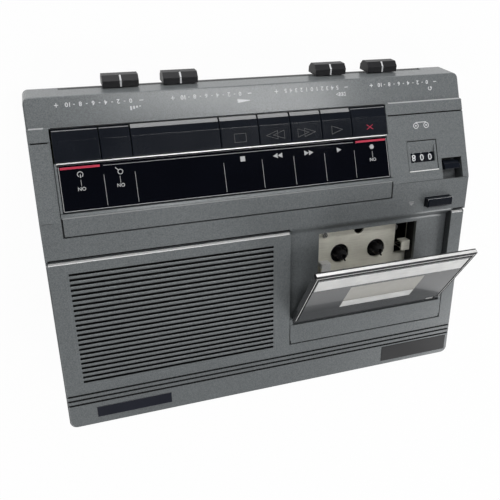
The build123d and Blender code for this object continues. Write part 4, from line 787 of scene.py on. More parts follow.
def add_turned(solid, centre, axis, profile, steps=40):
    """Ring turned about an axis from a closed profile of (radius, height)."""
    axis = axis.normalized()
    side = axis.orthogonal().normalized()
    other = axis.cross(side)
    rows = []
    for index in range(steps):
        turn = 2 * math.pi * index / steps
        out = side * math.cos(turn) + other * math.sin(turn)
        rows.append([solid.verts.new(centre + out * radius + axis * height) for radius, height in profile])
    count = len(profile)
    for index in range(steps):
        here, after = rows[index], rows[(index + 1) % steps]
        for corner in range(count):
            follow = (corner + 1) % count
            solid.faces.new([here[corner], after[corner], after[follow], here[follow]])


# Geometry Nodes

class Pattern(NodeTree):
    """One Geometry Nodes tree with named inputs, turned into a plain mesh."""

    KINDS = {float: "NodeSocketFloat", int: "NodeSocketInt"}

    def __init__(self, name, **inputs):
        super().__init__(bpy.data.node_groups.new(name, "GeometryNodeTree"))
        self.socket("geometry", "INPUT", "NodeSocketGeometry")
        self.values = {}
        for key, value in inputs.items():
            self.values[self.socket(key, "INPUT", self.KINDS[type(value)])] = value
        self.socket("geometry", "OUTPUT", "NodeSocketGeometry")
        self.source = self.tree.nodes.new("NodeGroupInput")

    def socket(self, key, way, kind):
        return self.tree.interface.new_socket(socket_name(key), in_out=way, socket_type=kind).identifier

    def __getitem__(self, key):
        return Wire(self, self.source.outputs[socket_name(key)])

    def vector(self, x=0.0, y=0.0, z=0.0):
        return self.node("ShaderNodeCombineXYZ", {}, {"X": x, "Y": y, "Z": z})

    def cube(self, x, y, z):
        return self.node("GeometryNodeMeshCube", {}, {"Size": self.vector(x, y, z)})

    def lifted(self, geometry, height):
        values = {"Geometry": geometry, "Translation": self.vector(z=height)}
        return self.node("GeometryNodeTransform", {}, values)

    def cut(self, geometry, cutters):
        values = {"Mesh 1": geometry, "Mesh 2": cutters}
        return self.node("GeometryNodeMeshBoolean", {"operation": "DIFFERENCE"}, values)

    def join(self, *parts):
        return self.node("GeometryNodeJoinGeometry", {}, {0: list(parts)})

    def copies(self, points, geometry):
        return self.node("GeometryNodeInstanceOnPoints", {}, {"Points": points, "Instance": geometry})

    def mesh(self, geometry, finish, points=((0, 0, 0),)):
        """Runs the tree on a few points and gives its result as a mesh."""
        real = self.node("GeometryNodeRealizeInstances", {}, {0: geometry})
        coated = self.node("GeometryNodeSetMaterial", {}, {"Geometry": real, "Material": PAINT[finish]})
        self.feed(self.tree.nodes.new("NodeGroupOutput"), {0: coated})
        seed = bpy.data.meshes.new("seed")
        seed.from_pydata([Vector(point) for point in points], [], [])
        holder = put("seed", seed)
        modifier = holder.modifiers.new("pattern", "NODES")
        modifier.node_group = self.tree
        for identifier, value in self.values.items():
            modifier[identifier] = value
        mesh = mesh_from(holder)
        bpy.data.meshes.remove(seed)
        if not mesh.polygons:
            raise RuntimeError(f"{self.tree.name} made nothing")
        return mesh


def screw_mesh(points, radius, height, shank, length_under, matrix):
    """Pan-head screws with a cross recess, heads up at z = 0, then moved to their place."""
    taper, slot_share, reach_share = 0.82, 0.24, 1.15
    pattern = Pattern(
        "cross_head_screws", radius=radius, height=height, shank=shank, length=length_under,
        slot=radius * slot_share, reach=radius * reach_share)
    high, slot, reach = pattern["height"], pattern["slot"], pattern["reach"]
    head = pattern.node("GeometryNodeMeshCone", {}, {
        "Vertices": 28, "Radius Top": pattern["radius"] * taper,
        "Radius Bottom": pattern["radius"], "Depth": high})
    low = high * -1.0
    cross = [pattern.cube(reach, slot, high), pattern.cube(slot, reach, high)]
    head = pattern.cut(pattern.lifted(head, low), cross)
    stem = pattern.node("GeometryNodeMeshCylinder", {}, {
        "Vertices": 16, "Radius": pattern["shank"], "Depth": pattern["length"]})
    stem = pattern.lifted(stem, low - pattern["length"] * 0.5)
    screws = pattern.copies(pattern["geometry"], pattern.join(head, stem))
    mesh = pattern.mesh(screws, "dark_steel", points)
    mesh.transform(matrix)
    return mesh


# Operators

class PLAYER_OT_finishes(bpy.types.Operator):
    """Give every node of the frame its finish"""
    bl_idname = "player.finishes"
    bl_label = "Finishes"

    def execute(self, context):
        left = set(NODES)
        for finish, names in NODE_FINISHES.items():
            for name in names:
                NODES[name].data.materials.clear()
                NODES[name].data.materials.append(PAINT[finish])
                left.remove(name)
        if left:
            raise RuntimeError(f"no finish for {sorted(left)}")
        return {"FINISHED"}


class PLAYER_OT_grille(bpy.types.Operator):
    """Make the speaker grille's border and its round-edged slats"""
    bl_idname = "player.grille"
    bl_label = "Grille"

    def execute(self, context):
        size = sizes()
        face = Face("speaker_grille", DECK_UP)
        thick = face.top - lowest("speaker_grille", face.up)
        run = face.rear - face.front
        slots = int((run - 2 * size.border - size.slot_width) / size.slat_pitch) + 1
        pattern = Pattern(
            "grille_slats", width=face.right - face.left, depth=run, thickness=thick,
            pitch=size.slat_pitch, slat=size.slat_pitch - size.slot_width, round=size.slat_round,
            side=size.border, margin=(run - (slots - 1) * size.slat_pitch - size.slot_width) / 2,
            count=slots - 1)
        wide, deep, high = pattern["width"], pattern["depth"], pattern["thickness"]
        hole_x = wide - pattern["side"] * 2.0
        hole_y = deep - pattern["margin"] * 2.0
        border = pattern.cut(pattern.cube(wide, deep, high), pattern.cube(hole_x, hole_y, high * 2.0))
        profile = pattern.node(
            "GeometryNodeCurvePrimitiveQuadrilateral", {}, {"Width": pattern["slat"], "Height": high})
        profile = pattern.node("GeometryNodeFilletCurve", {"mode": "POLY"}, {
            "Curve": profile, "Count": 4, "Radius": pattern["round"]})
        half = hole_x * 0.5
        path = pattern.node("GeometryNodeCurvePrimitiveLine", {}, {
            "Start": pattern.vector(x=half * -1.0), "End": pattern.vector(x=half)})
        slat = pattern.node("GeometryNodeCurveToMesh", {}, {
            "Curve": path, "Profile Curve": profile, "Fill Caps": True})
        first = (pattern["count"] - 1.0) * -0.5 * pattern["pitch"]
        row = pattern.node("GeometryNodeMeshLine", {"mode": "OFFSET"}, {
            "Count": pattern["count"], "Start Location": pattern.vector(y=first),
            "Offset": pattern.vector(y=pattern["pitch"])})
        mesh = pattern.mesh(pattern.join(border, pattern.copies(row, slat)), "grille_paint")
        centre = (face.middle, (face.front + face.rear) / 2, -thick / 2)
        mesh.transform(face.matrix() @ Matrix.Translation(centre))
        piece = make_piece("grille", mesh, "grille_paint", "housing")
        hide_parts("speaker_grille")
        return {"FINISHED"}


class PLAYER_OT_screws(bpy.types.Operator):
    """Make the cross-head screws under the case and the one in the well"""
    bl_idname = "player.screws"
    bl_label = "Screws"

    HEAD_HEIGHT = 1.7 * MM
    SHANK = 1.5 * MM
    FLAT = 0.01 * MM
    WELL_DEPTH = mm(4, 7)
    WELL_PLACE = mm(22.2, 9.0, 1.15)
    # Radius and height of the head, radius and length of the shank
    WELL_SCREW = mm(2.0, 1.2, 1.0, 1.0)

    def execute(self, context):
        low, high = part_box("case_screws")
        middle = (Vector(low) + Vector(high)) / 2
        groups = {}
        for vertex in NODES["case_screws"].data.vertices:
            if vertex.co.z < low[2] + self.FLAT:
                corner = (vertex.co.x > middle.x, vertex.co.y > middle.y)
                groups.setdefault(corner, []).append(vertex.co)
        points = []
        for group in groups.values():
            centre = sum(group, Vector()) / len(group)
            points.append((centre.x, -centre.y, 0))
        over = Matrix.Translation((0, 0, low[2])) @ Matrix.Rotation(math.pi, 4, "X")
        under = high[2] - low[2] - self.HEAD_HEIGHT
        screws = screw_mesh(points, sizes().screw_head, self.HEAD_HEIGHT, self.SHANK, under, over)
        piece = make_piece("case_cross_screws", screws, "dark_steel", "housing")
        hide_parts("case_screws")

        plate = Face.sunk("deck_plate", DECK_UP, *self.WELL_DEPTH)
        x, along, lift = self.WELL_PLACE
        place = (WELL_MIDDLE + x, plate.front + along, lift)
        screw = screw_mesh([place], *self.WELL_SCREW, plate.matrix())
        make_piece("well_screw", screw, "silver_trim", "housing")
        return {"FINISHED"}


class PLAYER_OT_keys(bpy.types.Operator):
    """Print the key tops and lay the bright strips along their noses"""
    bl_idname = "player.keys"
    bl_label = "Keys"

    NOSE_LEAN = (-0.9, -0.45)
    FACET_LEAN = (-0.4, -0.03)
    TOP_LEAN = (0.03, 0.3)
    FACET_REACH = 12 * MM
    EDGE = 0.12 * MM
    LINE = 0.35 * MM
    BAND = 1.0 * MM
    RISE = 0.12 * MM
    GAP = 0.4 * MM
    GAP_LINE = 0.45 * MM
    SYMBOL = 4.3 * MM
    SYMBOL_WIDTH = 6.2 * MM
    SYMBOL_STEP = 1.9 * MM
    SYMBOL_ROW = 0.56
    STROKE = 0.2 * MM
    CROSS = (0.44 * SYMBOL, 0.3 * SYMBOL)
    CROSS_STROKE = 1.6 * STROKE
    # Which way a key's triangles point, and the steps at which they stand
    POINTING = {"play_key": (-1, (0,)), "fast_forward_key": (-1, (-1, 1)), "rewind_key": (1, (-1, 1))}

    def execute(self, context):
        for key in KEYS:
            body = key if key != "blank_key" else "housing"
            nose = Face.leaning(key, CONTROL_UP, *self.NOSE_LEAN)
            left, right = nose.left, nose.right
            if key in BRIGHT_NOSES:
                bar = (left, right, nose.front + self.EDGE, nose.rear)
                lay_bars(key + "_nose", "grey_ink", nose, bar, body=body, rise=self.RISE)
                facet = Face.leaning(key, CONTROL_UP, *self.FACET_LEAN, before=self.FACET_REACH)
                bar = (left, right, facet.front, facet.front + self.BAND)
                lay_bars(key + "_band", "grey_ink", facet, bar, body=body, rise=self.RISE)
            else:
                rear = nose.rear - self.EDGE
                lay_bars(key + "_nose", "grey_ink", nose, (left, right, rear - self.LINE, rear), body=body)
            self.symbol(key, body)
        self.gap()
        return {"FINISHED"}

    def gap(self):
        """Painted shade: a dark line on the cover in the gap along the front of the key row."""
        face = Face("front_cover", CONTROL_UP)
        front = lowest("play_key", face.along) - self.GAP
        left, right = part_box("erase_key")[0][0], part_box("power_key")[1][0]
        lay_bars("key_gap", "line_black", face, (left, right, front - self.GAP_LINE, front))

    def symbol(self, key, body):
        """Cross, triangles or square on a key's top; the other keys stay bare."""
        if key not in ("erase_key", "stop_key", *self.POINTING):
            return
        top = Face.leaning(key, CONTROL_UP, *self.TOP_LEAN)
        x, y = top.middle, top.front + self.SYMBOL_ROW * (top.rear - top.front)
        size, wide = self.SYMBOL, self.SYMBOL_WIDTH
        marks = Marks(top)
        if key == "erase_key":
            half, rise = self.CROSS
            for way in (1, -1):
                marks.line((x - half, y - way * rise), (x + half, y + way * rise), self.CROSS_STROKE)
        elif key == "stop_key":
            left, right, front, rear = x - wide / 2, x + wide / 2, y - size / 2, y + size / 2
            marks.loop([(left, front), (right, front), (right, rear), (left, rear)], self.STROKE)
        else:
            pointing, steps = self.POINTING[key]
            for step in steps:
                marks.open_triangle(x + step * self.SYMBOL_STEP, y, size, pointing, self.STROKE, wide)
        finish = "red_ink" if key == "erase_key" else "faint_ink"
        marks.piece(key + "_mark", finish, body, "key_plastic")


class PLAYER_OT_label_panel(bpy.types.Operator):
    """Print the glossy strip above the keys, and lay painted shade over the rear half of the bright strip
    along the keys
    """
    bl_idname = "player.label_panel"
    bl_label = "Label panel"

    INSET = 0.6 * MM
    FRAME = 0.55
    DIVIDER = 0.38
    DIVIDER_FRONT = 0.26
    DIVIDER_REAR = 0.08
    RULE = mm(1.3, 1.55)
    RED = mm(0.85, 1.95)
    SIGN_ROW = 0.21
    SIGN = 1.3 * MM
    STROKE = 0.36 * MM
    HANDLE = 0.4 * MM
    ON_ROW = 0.52
    ON_HEIGHT = 1.8 * MM
    ON_GAP = 1.2 * MM
    TICK = 0.2 * MM

    def execute(self, context):
        face = Face("label_panel", CONTROL_UP)
        bounds = {key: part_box(key) for key in KEYS}
        self.lines(face, bounds)

        strip = Face("key_trim_strip", CONTROL_UP)
        half_way = strip.front + 0.5 * (strip.rear - strip.front)
        lay_bars("key_trim_shade", "line_black", strip, (strip.left, strip.right, half_way, strip.rear))

        bars = []
        for key in ("erase_key", "power_key"):
            left = max(face.left, bounds[key][0][0]) + 2 * self.INSET
            right = min(face.right, bounds[key][1][0]) - 2 * self.INSET
            bars.append((left, right, face.front + self.RED[0], face.front + self.RED[1]))
        lay_bars("label_panel_bars", "red_ink", face, *bars)
        self.signs(face)
        return {"FINISHED"}

    def lines(self, face, bounds):
        """Frame open to the front, a line between each two keys, and a rule along the middle keys."""
        depth = face.rear - face.front
        half, thin = self.FRAME * sizes().line, self.DIVIDER * sizes().line
        left, right, front, rear = face.inset(self.INSET)
        bars = [(left, right, rear - half, rear + half)]
        for x in (left, right):
            bars.append((x - half, x + half, front, rear - half))
        front, rear = face.front + self.DIVIDER_FRONT * depth, face.rear - self.DIVIDER_REAR * depth
        for left_key, right_key in zip(KEYS, KEYS[1:]):
            x = (bounds[left_key][1][0] + bounds[right_key][0][0]) / 2
            bars.append((x - thin, x + thin, front, rear))
        left, right = bounds["play_key"][0][0], bounds["search_key"][1][0]
        bars.append((left, right, face.front + self.RULE[0], face.front + self.RULE[1]))
        lay_bars("label_panel_lines", "grey_ink", face, *bars, slot="black_gloss")

    def signs(self, face):
        """Plain signs for the keys, and ON with a tick above those that latch."""
        depth = face.rear - face.front
        row = face.front + self.SIGN_ROW * depth
        half = self.SIGN
        signs = Marks(face)
        signs.triangle(middle_of("play_key"), row, 2 * half, -1)
        for key, pointing in (("fast_forward_key", -1), ("rewind_key", 1)):
            for step in (-half, half):
                signs.triangle(middle_of(key) + step, row, 2 * half, pointing)
        x = middle_of("stop_key")
        signs.bar(x - half, x + half, row - half, row + half)
        signs.disc(middle_of("erase_key"), row, half)
        x, y = middle_of("search_key") - 0.35 * half, row + 0.35 * half
        signs.arc(x, y, 0.9 * half, 0, 360, self.STROKE)
        signs.line((x + 0.75 * half, y - 0.75 * half), (x + 1.7 * half, y - 1.7 * half), self.HANDLE)
        x = middle_of("power_key")
        signs.arc(x, row, half, 120, 420, self.STROKE)
        signs.bar(x - self.STROKE / 2, x + self.STROKE / 2, row, row + 1.3 * half)
        level = face.front + self.ON_ROW * depth
        for key in ("erase_key", "search_key", "power_key"):
            x = middle_of(key)
            signs.words("ON", x, level, self.ON_HEIGHT)
            signs.bar(x - self.TICK / 2, x + self.TICK / 2, row + 1.9 * half, level - self.ON_GAP)
        signs.piece("label_panel_signs", "panel_ink", "housing", "black_gloss")


class PLAYER_OT_scales(bpy.types.Operator):
    """Print the four slide scales and the sign under the counter"""
    bl_idname = "player.scales"
    bl_label = "Scales"

    SHIFT = {"backspace_knob": 0.3, "speed_knob": 0.3, "volume_knob": -0.2, "tone_knob": 0.2}
    DIVISIONS = 10
    ICON_LEFT = 1.6 * MM
    ICON_ROW = 7.3 * MM
    END = 5.2 * MM
    STROKE = 0.36 * MM
    HALF = 1.0 * MM
    # Half the width and half the height
    DASH = mm(0.4, 0.17)
    CHEVRON = 0.28 * MM
    REELS_LEFT = 0.8 * MM
    REELS_ROW = 27.9 * MM
    REELS_APART = 3.3 * MM
    REEL = 1.5 * MM
    HUB = 0.45 * MM

    def execute(self, context):
        size = sizes()
        face = Face("front_cover", CONTROL_UP)
        marks = Marks(face)
        for knob in KNOBS:
            reach = JOINTS[knob.replace("_knob", "_slide")]["range_m"]
            middle = middle_of(knob) + sum(reach) / 2 + self.SHIFT[knob] * MM
            self.scale(marks, knob, middle, face.front + size.scale_row)
            self.icon(marks, knob, middle - size.travel / 2 - self.ICON_LEFT, face.front + self.ICON_ROW)
        self.reels(marks, middle_of("counter_frame") - self.REELS_LEFT, face.front + self.REELS_ROW)
        marks.piece("scale_marks", "white_ink", "housing", "charcoal_plastic")
        return {"FINISHED"}

    def scale(self, marks, knob, middle, row):
        """Figures along the travel, with minus and plus past its ends."""
        size = sizes()
        step = size.travel / self.DIVISIONS
        centre = self.DIVISIONS // 2
        wide, high = self.DASH
        for index in range(self.DIVISIONS + 1):
            x = middle + (index - centre) * step
            if knob == "speed_knob":
                marks.words(str(abs(index - centre)), x, row, size.figure)
            elif index % 2 == 0:
                marks.words(str(index), x, row, size.figure)
            else:
                marks.bar(x - wide, x + wide, row - high, row + high)
        half, stroke = self.HALF, self.STROKE / 2
        for side in (-1, 1):
            x = middle + side * (size.travel / 2 + self.END)
            marks.bar(x - half, x + half, row - stroke, row + stroke)
            if side > 0:
                marks.bar(x - stroke, x + stroke, row + stroke, row + half)
                marks.bar(x - stroke, x + stroke, row - half, row - stroke)

    def icon(self, marks, knob, x, y):
        """Plain sign for what each slide does."""
        half = self.HALF
        if knob == "volume_knob":
            reach, thin = 3.4 * half, 0.15 * half
            left, right = x - reach, x + reach
            marks.shape([(left, y - thin), (right, y - half), (right, y + half), (left, y + thin)])
        elif knob == "tone_knob":
            for index, rise in enumerate((0.5, 1.0, 1.5, 2.0)):
                left = x + (index - 2) * 1.5 * half
                marks.bar(left, left + 0.8 * half, y - half, y + (rise - 1) * half)
        elif knob == "speed_knob":
            for step in (-1.6, 0, 1.6):
                marks.open_triangle(x + step * half, y, 2 * half, 1, self.CHEVRON)
        else:
            marks.arc(x, y, half, -60, 200, self.STROKE)
            marks.triangle(x - half, y - 0.5 * half, 1.3 * half, -1)

    def reels(self, marks, x, y):
        """Two reels over a length of tape."""
        for side in (-1, 1):
            marks.arc(x + side * self.REELS_APART, y, self.REEL, 0, 360, self.STROKE)
            marks.disc(x + side * self.REELS_APART, y, self.HUB)
        low = y - self.REEL - self.STROKE
        marks.bar(x - self.REELS_APART, x + self.REELS_APART, low - self.STROKE / 2, low + self.STROKE / 2)


class PLAYER_OT_knobs(bpy.types.Operator):
    """Lay the white pointer over the top and the front of each slide knob"""
    bl_idname = "player.knobs"
    bl_label = "Knobs"

    EDGE = 0.06 * MM
    FRONT_LEAN = (-0.8, -0.6)

    def execute(self, context):
        half = sizes().pointer / 2
        for knob in KNOBS:
            middle = middle_of(knob)
            for name, face in (
                    ("top", Face.topmost(knob, UPRIGHT)),
                    ("front", Face.leaning(knob, UPRIGHT, *self.FRONT_LEAN))):
                bar = (middle - half, middle + half, *face.inset(self.EDGE)[2:])
                lay_bars(f"{knob}_pointer_{name}", "white_ink", face, bar, body=knob)
        return {"FINISHED"}


class PLAYER_OT_counter(bpy.types.Operator):
    """Print the counter wheels and the lines round the counter"""
    bl_idname = "player.counter"
    bl_label = "Counter"

    RULE = 0.5 * MM
    EDGE = 0.15 * MM
    FINE = 0.35 * MM
    FIGURE_RISE = 0.04 * MM

    def execute(self, context):
        size = sizes()
        for wheel, shown in WHEELS.items():
            rim = Rim(wheel)
            marks = Marks(rim)
            step = 2 * math.pi * rim.radius / size.figures
            for index in range(size.figures):
                marks.words(str((shown + index) % size.figures), rim.middle, -index * step, size.digit)
            marks.fine(self.FINE)
            marks.piece(wheel + "_figures", "white_ink", wheel, "counter_white", self.FIGURE_RISE)
        face = Face("counter_frame", CONTROL_UP)
        rule = self.RULE
        left, right, front, rear = face.inset(self.EDGE)
        lay_bars("counter_rule", "edge_white", face, (left, right, rear - rule, rear))
        lay_bars(
            "counter_edge", "line_black", face,
            (left, left + rule, front, face.rear - 2 * rule),
            (left + rule, right, front, front + rule))
        return {"FINISHED"}


class PLAYER_OT_door(bpy.types.Operator):
    """Dress the cassette door: bare strip, border lines, bright nose and the film on its pane"""
    bl_idname = "player.door"
    bl_label = "Door"

    RECESS = mm(0.2, 0.6)
    STRIP_GAP = 0.2 * MM
    STRIP = mm(0.02, 0.45)
    STRIP_BEVEL = 0.12 * MM
    DARK = (mm(0.08, 0.75), mm(1.35, 2.15))
    BRIGHT = mm(0.85, 1.2)
    BORDER_FRONT = 0.2 * MM
    BORDER_REAR = 2.5 * MM
    BORDER_WIDTH = 1.1 * MM
    # Distance from both sides, then of the start and the end from the rear edge
    FRONT_LINE = mm(0.5, 0.75, 0.3)
    NOSE = mm(0.2, 1.75, 0.1)
    NOSE_RISE = 0.15 * MM
    FILM = 6.6 * MM
    FILM_EDGE = 0.25 * MM
    FILM_RISE = 0.08 * MM
    LEDGE = 1.75 * MM
    BACK = mm(-2.6, -2.0)
    BACK_BEVEL = 0.1 * MM

    def execute(self, context):
        recess = Face.sunk("cassette_door", DOOR_UP, *self.RECESS)
        box = (*recess.inset(self.STRIP_GAP), *self.STRIP)
        make_boxes("door_strip", "bare_card", "door", recess, [box], self.STRIP_BEVEL)
        self.border()
        self.nose()
        self.film()
        return {"FINISHED"}

    def border(self):
        """Dark and bright lines just inside the sides of the door."""
        face = Face("cassette_door", DOOR_UP)
        front, rear = face.front + self.BORDER_FRONT, face.rear - self.BORDER_REAR
        dark, bright = [], []
        for side, inward in ((face.left, 1), (face.right, -1)):
            for bars, (near, far) in ((dark, self.DARK[0]), (dark, self.DARK[1]), (bright, self.BRIGHT)):
                bars.append((*sorted((side + inward * near, side + inward * far)), front, rear))
        inner = self.DARK[1][1]
        dark.append((face.left + inner, face.right - inner, front, front + self.BORDER_WIDTH))
        lay_bars("door_border", "line_black", face, *dark, body="door")
        lay_bars("door_lines", "edge_white", face, *bright, body="door")

    def nose(self):
        """Bright line and bare strip along the door's front edge; the black trim left below the strip is
        painted shade.
        """
        top = Face("door_trim", DOOR_UP)
        front = Face("door_trim", -top.along)
        for name, finish, face, (side, low, high), rise in (
                ("door_front_line", "edge_white", top, self.FRONT_LINE, None),
                ("door_nose", "bare_card", front, self.NOSE, self.NOSE_RISE)):
            bar = (face.left + side, face.right - side, face.rear - low, face.rear - high)
            lay_bars(name, finish, face, bar, body="door", rise=rise)

    def film(self):
        """Bare film on the pane's rear part, and the plate behind the pane."""
        pane = Face("door_window", DOOR_UP)
        left, right, _, rear = pane.inset(self.FILM_EDGE)
        bar = (left, right, rear - self.FILM, rear)
        lay_bars("pane_film", "bare_card", pane, bar, body="door", rise=self.FILM_RISE)
        box = (*pane.inset(self.LEDGE), *self.BACK)
        make_boxes("pane_back", "pane_back", "door", pane, [box], self.BACK_BEVEL)


class PLAYER_OT_lines(bpy.types.Operator):
    """Lay painted highlights on the edges of the covers, and painted shade as dark lines in their grooves,
    joints and the knobs' slot
    """
    bl_idname = "player.lines"
    bl_label = "Lines"

    GROOVES = (
        ("rear_cover", DECK_UP, 0.5 * MM, 0.9 * MM),
        ("front_cover", CONTROL_UP, 0.3 * MM, 0.6 * MM))
    JOINT = 0.45 * MM
    RIDGE = 0.45 * MM
    EDGE = 0.06 * MM
    SIDE = 1.1 * MM
    OVER = 0.1 * MM
    PROUD = 0.03 * MM
    SEAM_LEAN = (-0.85, -0.6)
    SEAM = mm(0.5, 0.1)
    SEAM_GAP = 0.7 * MM
    STEP_LEAN = (-0.9, -0.8)
    STEP_REACH = mm(18, 26)
    STEP_SHARE = 0.4
    FOLD = 0.25 * MM
    SLOT_LEFT = 16 * MM
    SLOT_RIGHT = 17 * MM
    SLOT = mm(4.5, 0.1)

    def execute(self, context):
        # Black bars fill the grooves and stand just proud of them, as painted shade.
        for node, up, least, most in self.GROOVES:
            boxes = []
            for x0, x1, y0, y1 in Face.sunk(node, up, least, most).runs():
                span = (x0 + self.SIDE, x1 - self.SIDE, y0 - self.OVER, y1 + self.OVER)
                boxes.append((*span, -least, self.PROUD))
            top = Face.topmost(node, up)
            make_boxes(node + "_grooves", "line_black", "housing", top, boxes)
        self.joints()
        self.bright()
        # Black strip on the case's front wall: painted shade in the knobs' slot.
        front = Face("bottom_case", Vector((0, -1, 0)))
        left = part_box(KNOBS[0])[0][0] - self.SLOT_LEFT
        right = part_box(KNOBS[-1])[1][0] + self.SLOT_RIGHT
        bar = (left, right, front.rear - self.SLOT[0], front.rear - self.SLOT[1])
        lay_bars("slot_shade", "line_black", front, bar)
        return {"FINISHED"}

    def joints(self):
        """Painted shade in the joints round the hinge panel and the bezel, and a painted highlight on the
        bezel's front ridge.
        """
        wide, edge = self.JOINT, self.EDGE
        panel = Face.topmost("hinge_panel", DECK_UP)
        bezel = Face.topmost("control_bezel", DECK_UP)
        for name, face, front in (
                ("hinge_panel_edge", panel, panel.front), ("bezel_edge", bezel, bezel.front + wide)):
            left, right, rear = face.left + edge, face.right - edge, face.rear - wide
            lay_bars(
                name, "line_black", face,
                (left, left + wide, front, rear),
                (right - wide, right, front, rear),
                (left, right, rear, face.rear - edge))
        # Painted highlight along the bezel's front ridge.
        front = bezel.front + edge
        bar = (bezel.left + wide, bezel.right - wide, front, front + self.RIDGE)
        lay_bars("bezel_ridge", "grey_ink", bezel, bar)

    def spans(self, face, node, gap):
        """The two spans of a face left and right of a node."""
        low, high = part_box(node)
        return (face.left + self.SIDE, low[0] - gap), (high[0] + gap, face.right - self.SIDE)

    def bright(self):
        """Painted highlights on the seam and the step, with painted shade in the gap beside the seam and a
        dark line along the fold.
        """
        seam = Face.leaning("rear_cover", DECK_UP, *self.SEAM_LEAN)
        deck = Face.topmost("front_cover", DECK_UP)
        step = Face.leaning("front_cover", CONTROL_UP, *self.STEP_LEAN, *self.STEP_REACH)
        beside_dish = self.spans(seam, "hinge_panel", self.SIDE)
        beside_bezel = self.spans(deck, "control_bezel", self.SIDE)
        along_step = self.spans(step, "control_bezel", 0.0)
        edge = self.EDGE
        step_front = (1 - self.STEP_SHARE) * step.front + self.STEP_SHARE * step.rear
        seam_front, seam_rear = seam.front + self.SEAM[0], seam.rear - self.SEAM[1]
        fold = deck.front + edge
        # The seam and step bars are painted highlights; the seam's dark bar is painted shade.
        for name, finish, face, spans, front, rear in (
                ("seam_line", "edge_white", seam, beside_dish, seam_front, seam_rear),
                ("seam_gap", "line_black", deck, beside_dish, deck.rear - self.SEAM_GAP, deck.rear - edge),
                ("step_line", "panel_ink", step, along_step, step_front, step.rear - edge),
                ("fold_line", "case_plastic", deck, beside_bezel, fold, fold + self.FOLD)):
            lay_bars(name, finish, face, *((*span, front, rear) for span in spans))


class PLAYER_OT_buttons(bpy.types.Operator):
    """Lay a painted highlight along the eject button's edge, and the sign beside it"""
    bl_idname = "player.buttons"
    bl_label = "Buttons"

    EDGE_LEAN = (-0.85, -0.4)
    EDGE = 0.08 * MM
    LINE = 0.7 * MM
    LINE_RISE = 0.08 * MM
    SIGN_RIGHT = 6.5 * MM
    SIGN_HALF = 1.6 * MM
    TRIANGLE = mm(-0.4, 1.2)
    BAR = mm(-1.3, -0.8)

    def execute(self, context):
        # Painted highlight: a white bar along the button's front edge.
        edge = Face.leaning("eject_button", DECK_UP, *self.EDGE_LEAN)
        left, right, _, rear = edge.inset(self.EDGE)
        bar = (left, right, max(edge.front, rear - self.LINE), rear)
        lay_bars("eject_button_line", "edge_white", edge, bar, body="eject_button", rise=self.LINE_RISE)
        deck = Face.topmost("front_cover", DECK_UP)
        low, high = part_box("eject_button")
        x, half = high[0] + self.SIGN_RIGHT, self.SIGN_HALF
        y = (low[1] + high[1]) / 2 * deck.along.y + (low[2] + high[2]) / 2 * deck.along.z
        foot, tip = self.TRIANGLE
        sign = Marks(deck)
        sign.shape([(x - half, y + foot), (x + half, y + foot), (x, y + tip)])
        sign.bar(x - half, x + half, y + self.BAR[0], y + self.BAR[1])
        sign.piece("eject_sign", "grey_ink", "housing", "charcoal_plastic")
        return {"FINISHED"}


class PLAYER_OT_well(bpy.types.Operator):
    """Dress the cassette's pocket: guide block and bent lever plate"""
    bl_idname = "player.well"
    bl_label = "Well"

    # Left, right, front and rear from the same edge of the face, then low and high
    BLOCK = mm(-2.2, -0.05, -2.6, -0.3, -5.4, 0.1)
    BLOCK_BEVEL = 0.5 * MM
    LEVER_HALF = 2.9 * MM
    # Front and rear from an edge of the face, then low and high
    LEVER_TOP = mm(-0.6, 0.4, -0.05, 0.7)
    LEVER_FRONT = mm(-1.3, -0.5, -4.6, 0.7)
    LEVER_BEVEL = 0.2 * MM

    def execute(self, context):
        # The guide block has a white diffuse finish, a painted reflection of its bright plated tab.
        tab = Face.topmost("deck_plate", DECK_UP)
        left, right, front, rear, low, high = self.BLOCK
        box = (tab.left + left, tab.right + right, tab.front + front, tab.rear + rear, low, high)
        make_boxes("guide_block", "edge_white", "housing", tab, [box], self.BLOCK_BEVEL)

        lever = Face("cassette_lever", DECK_UP)
        boxes = []
        span = (lever.middle - self.LEVER_HALF, lever.middle + self.LEVER_HALF)
        for end, (front, rear, low, high) in (
                (lever.rear, self.LEVER_TOP), (lever.front, self.LEVER_FRONT)):
            boxes.append((*span, lever.front + front, end + rear, low, high))
        make_boxes("lever_plate", "nickel_sheet", "cassette_lever", lever, boxes, self.LEVER_BEVEL)
        return {"FINISHED"}


class PLAYER_OT_plates(bpy.types.Operator):
    """Stick the two bare black plates on the rear deck"""
    bl_idname = "player.plates"
    bl_label = "Plates"

    ROOT = -0.05 * MM
    # Left and right from the cover's nearer end, front and rear from its rear edge
    PLATE = mm(-56.3, -15.1, -10.2, -3.8)
    PLATE_BEVEL = 0.12 * MM
    STICKER = mm(2.2, 48.4, -12.3, -2.0)
    STICKER_BEVEL = 0.1 * MM
    STICKER_SHARE = 0.6

    def execute(self, context):
        face = Face("rear_cover", DECK_UP)
        low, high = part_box("rear_cover")
        rise = sizes().plate_rise
        # The rear plate's bluish black is partly a painted reflection.
        for name, finish, slot, start, (x0, x1, y0, y1), thick, bevel in (
                ("rear_plate", "plate_black", "black_gloss", high[0], self.PLATE, rise, self.PLATE_BEVEL),
                ("rear_sticker", "black_plastic", "black_plastic", low[0], self.STICKER,
                 rise * self.STICKER_SHARE, self.STICKER_BEVEL)):
            box = (start + x0, start + x1, face.rear + y0, face.rear + y1, self.ROOT, thick)
            make_boxes(name, finish, "housing", face, [box], bevel)
        return {"FINISHED"}


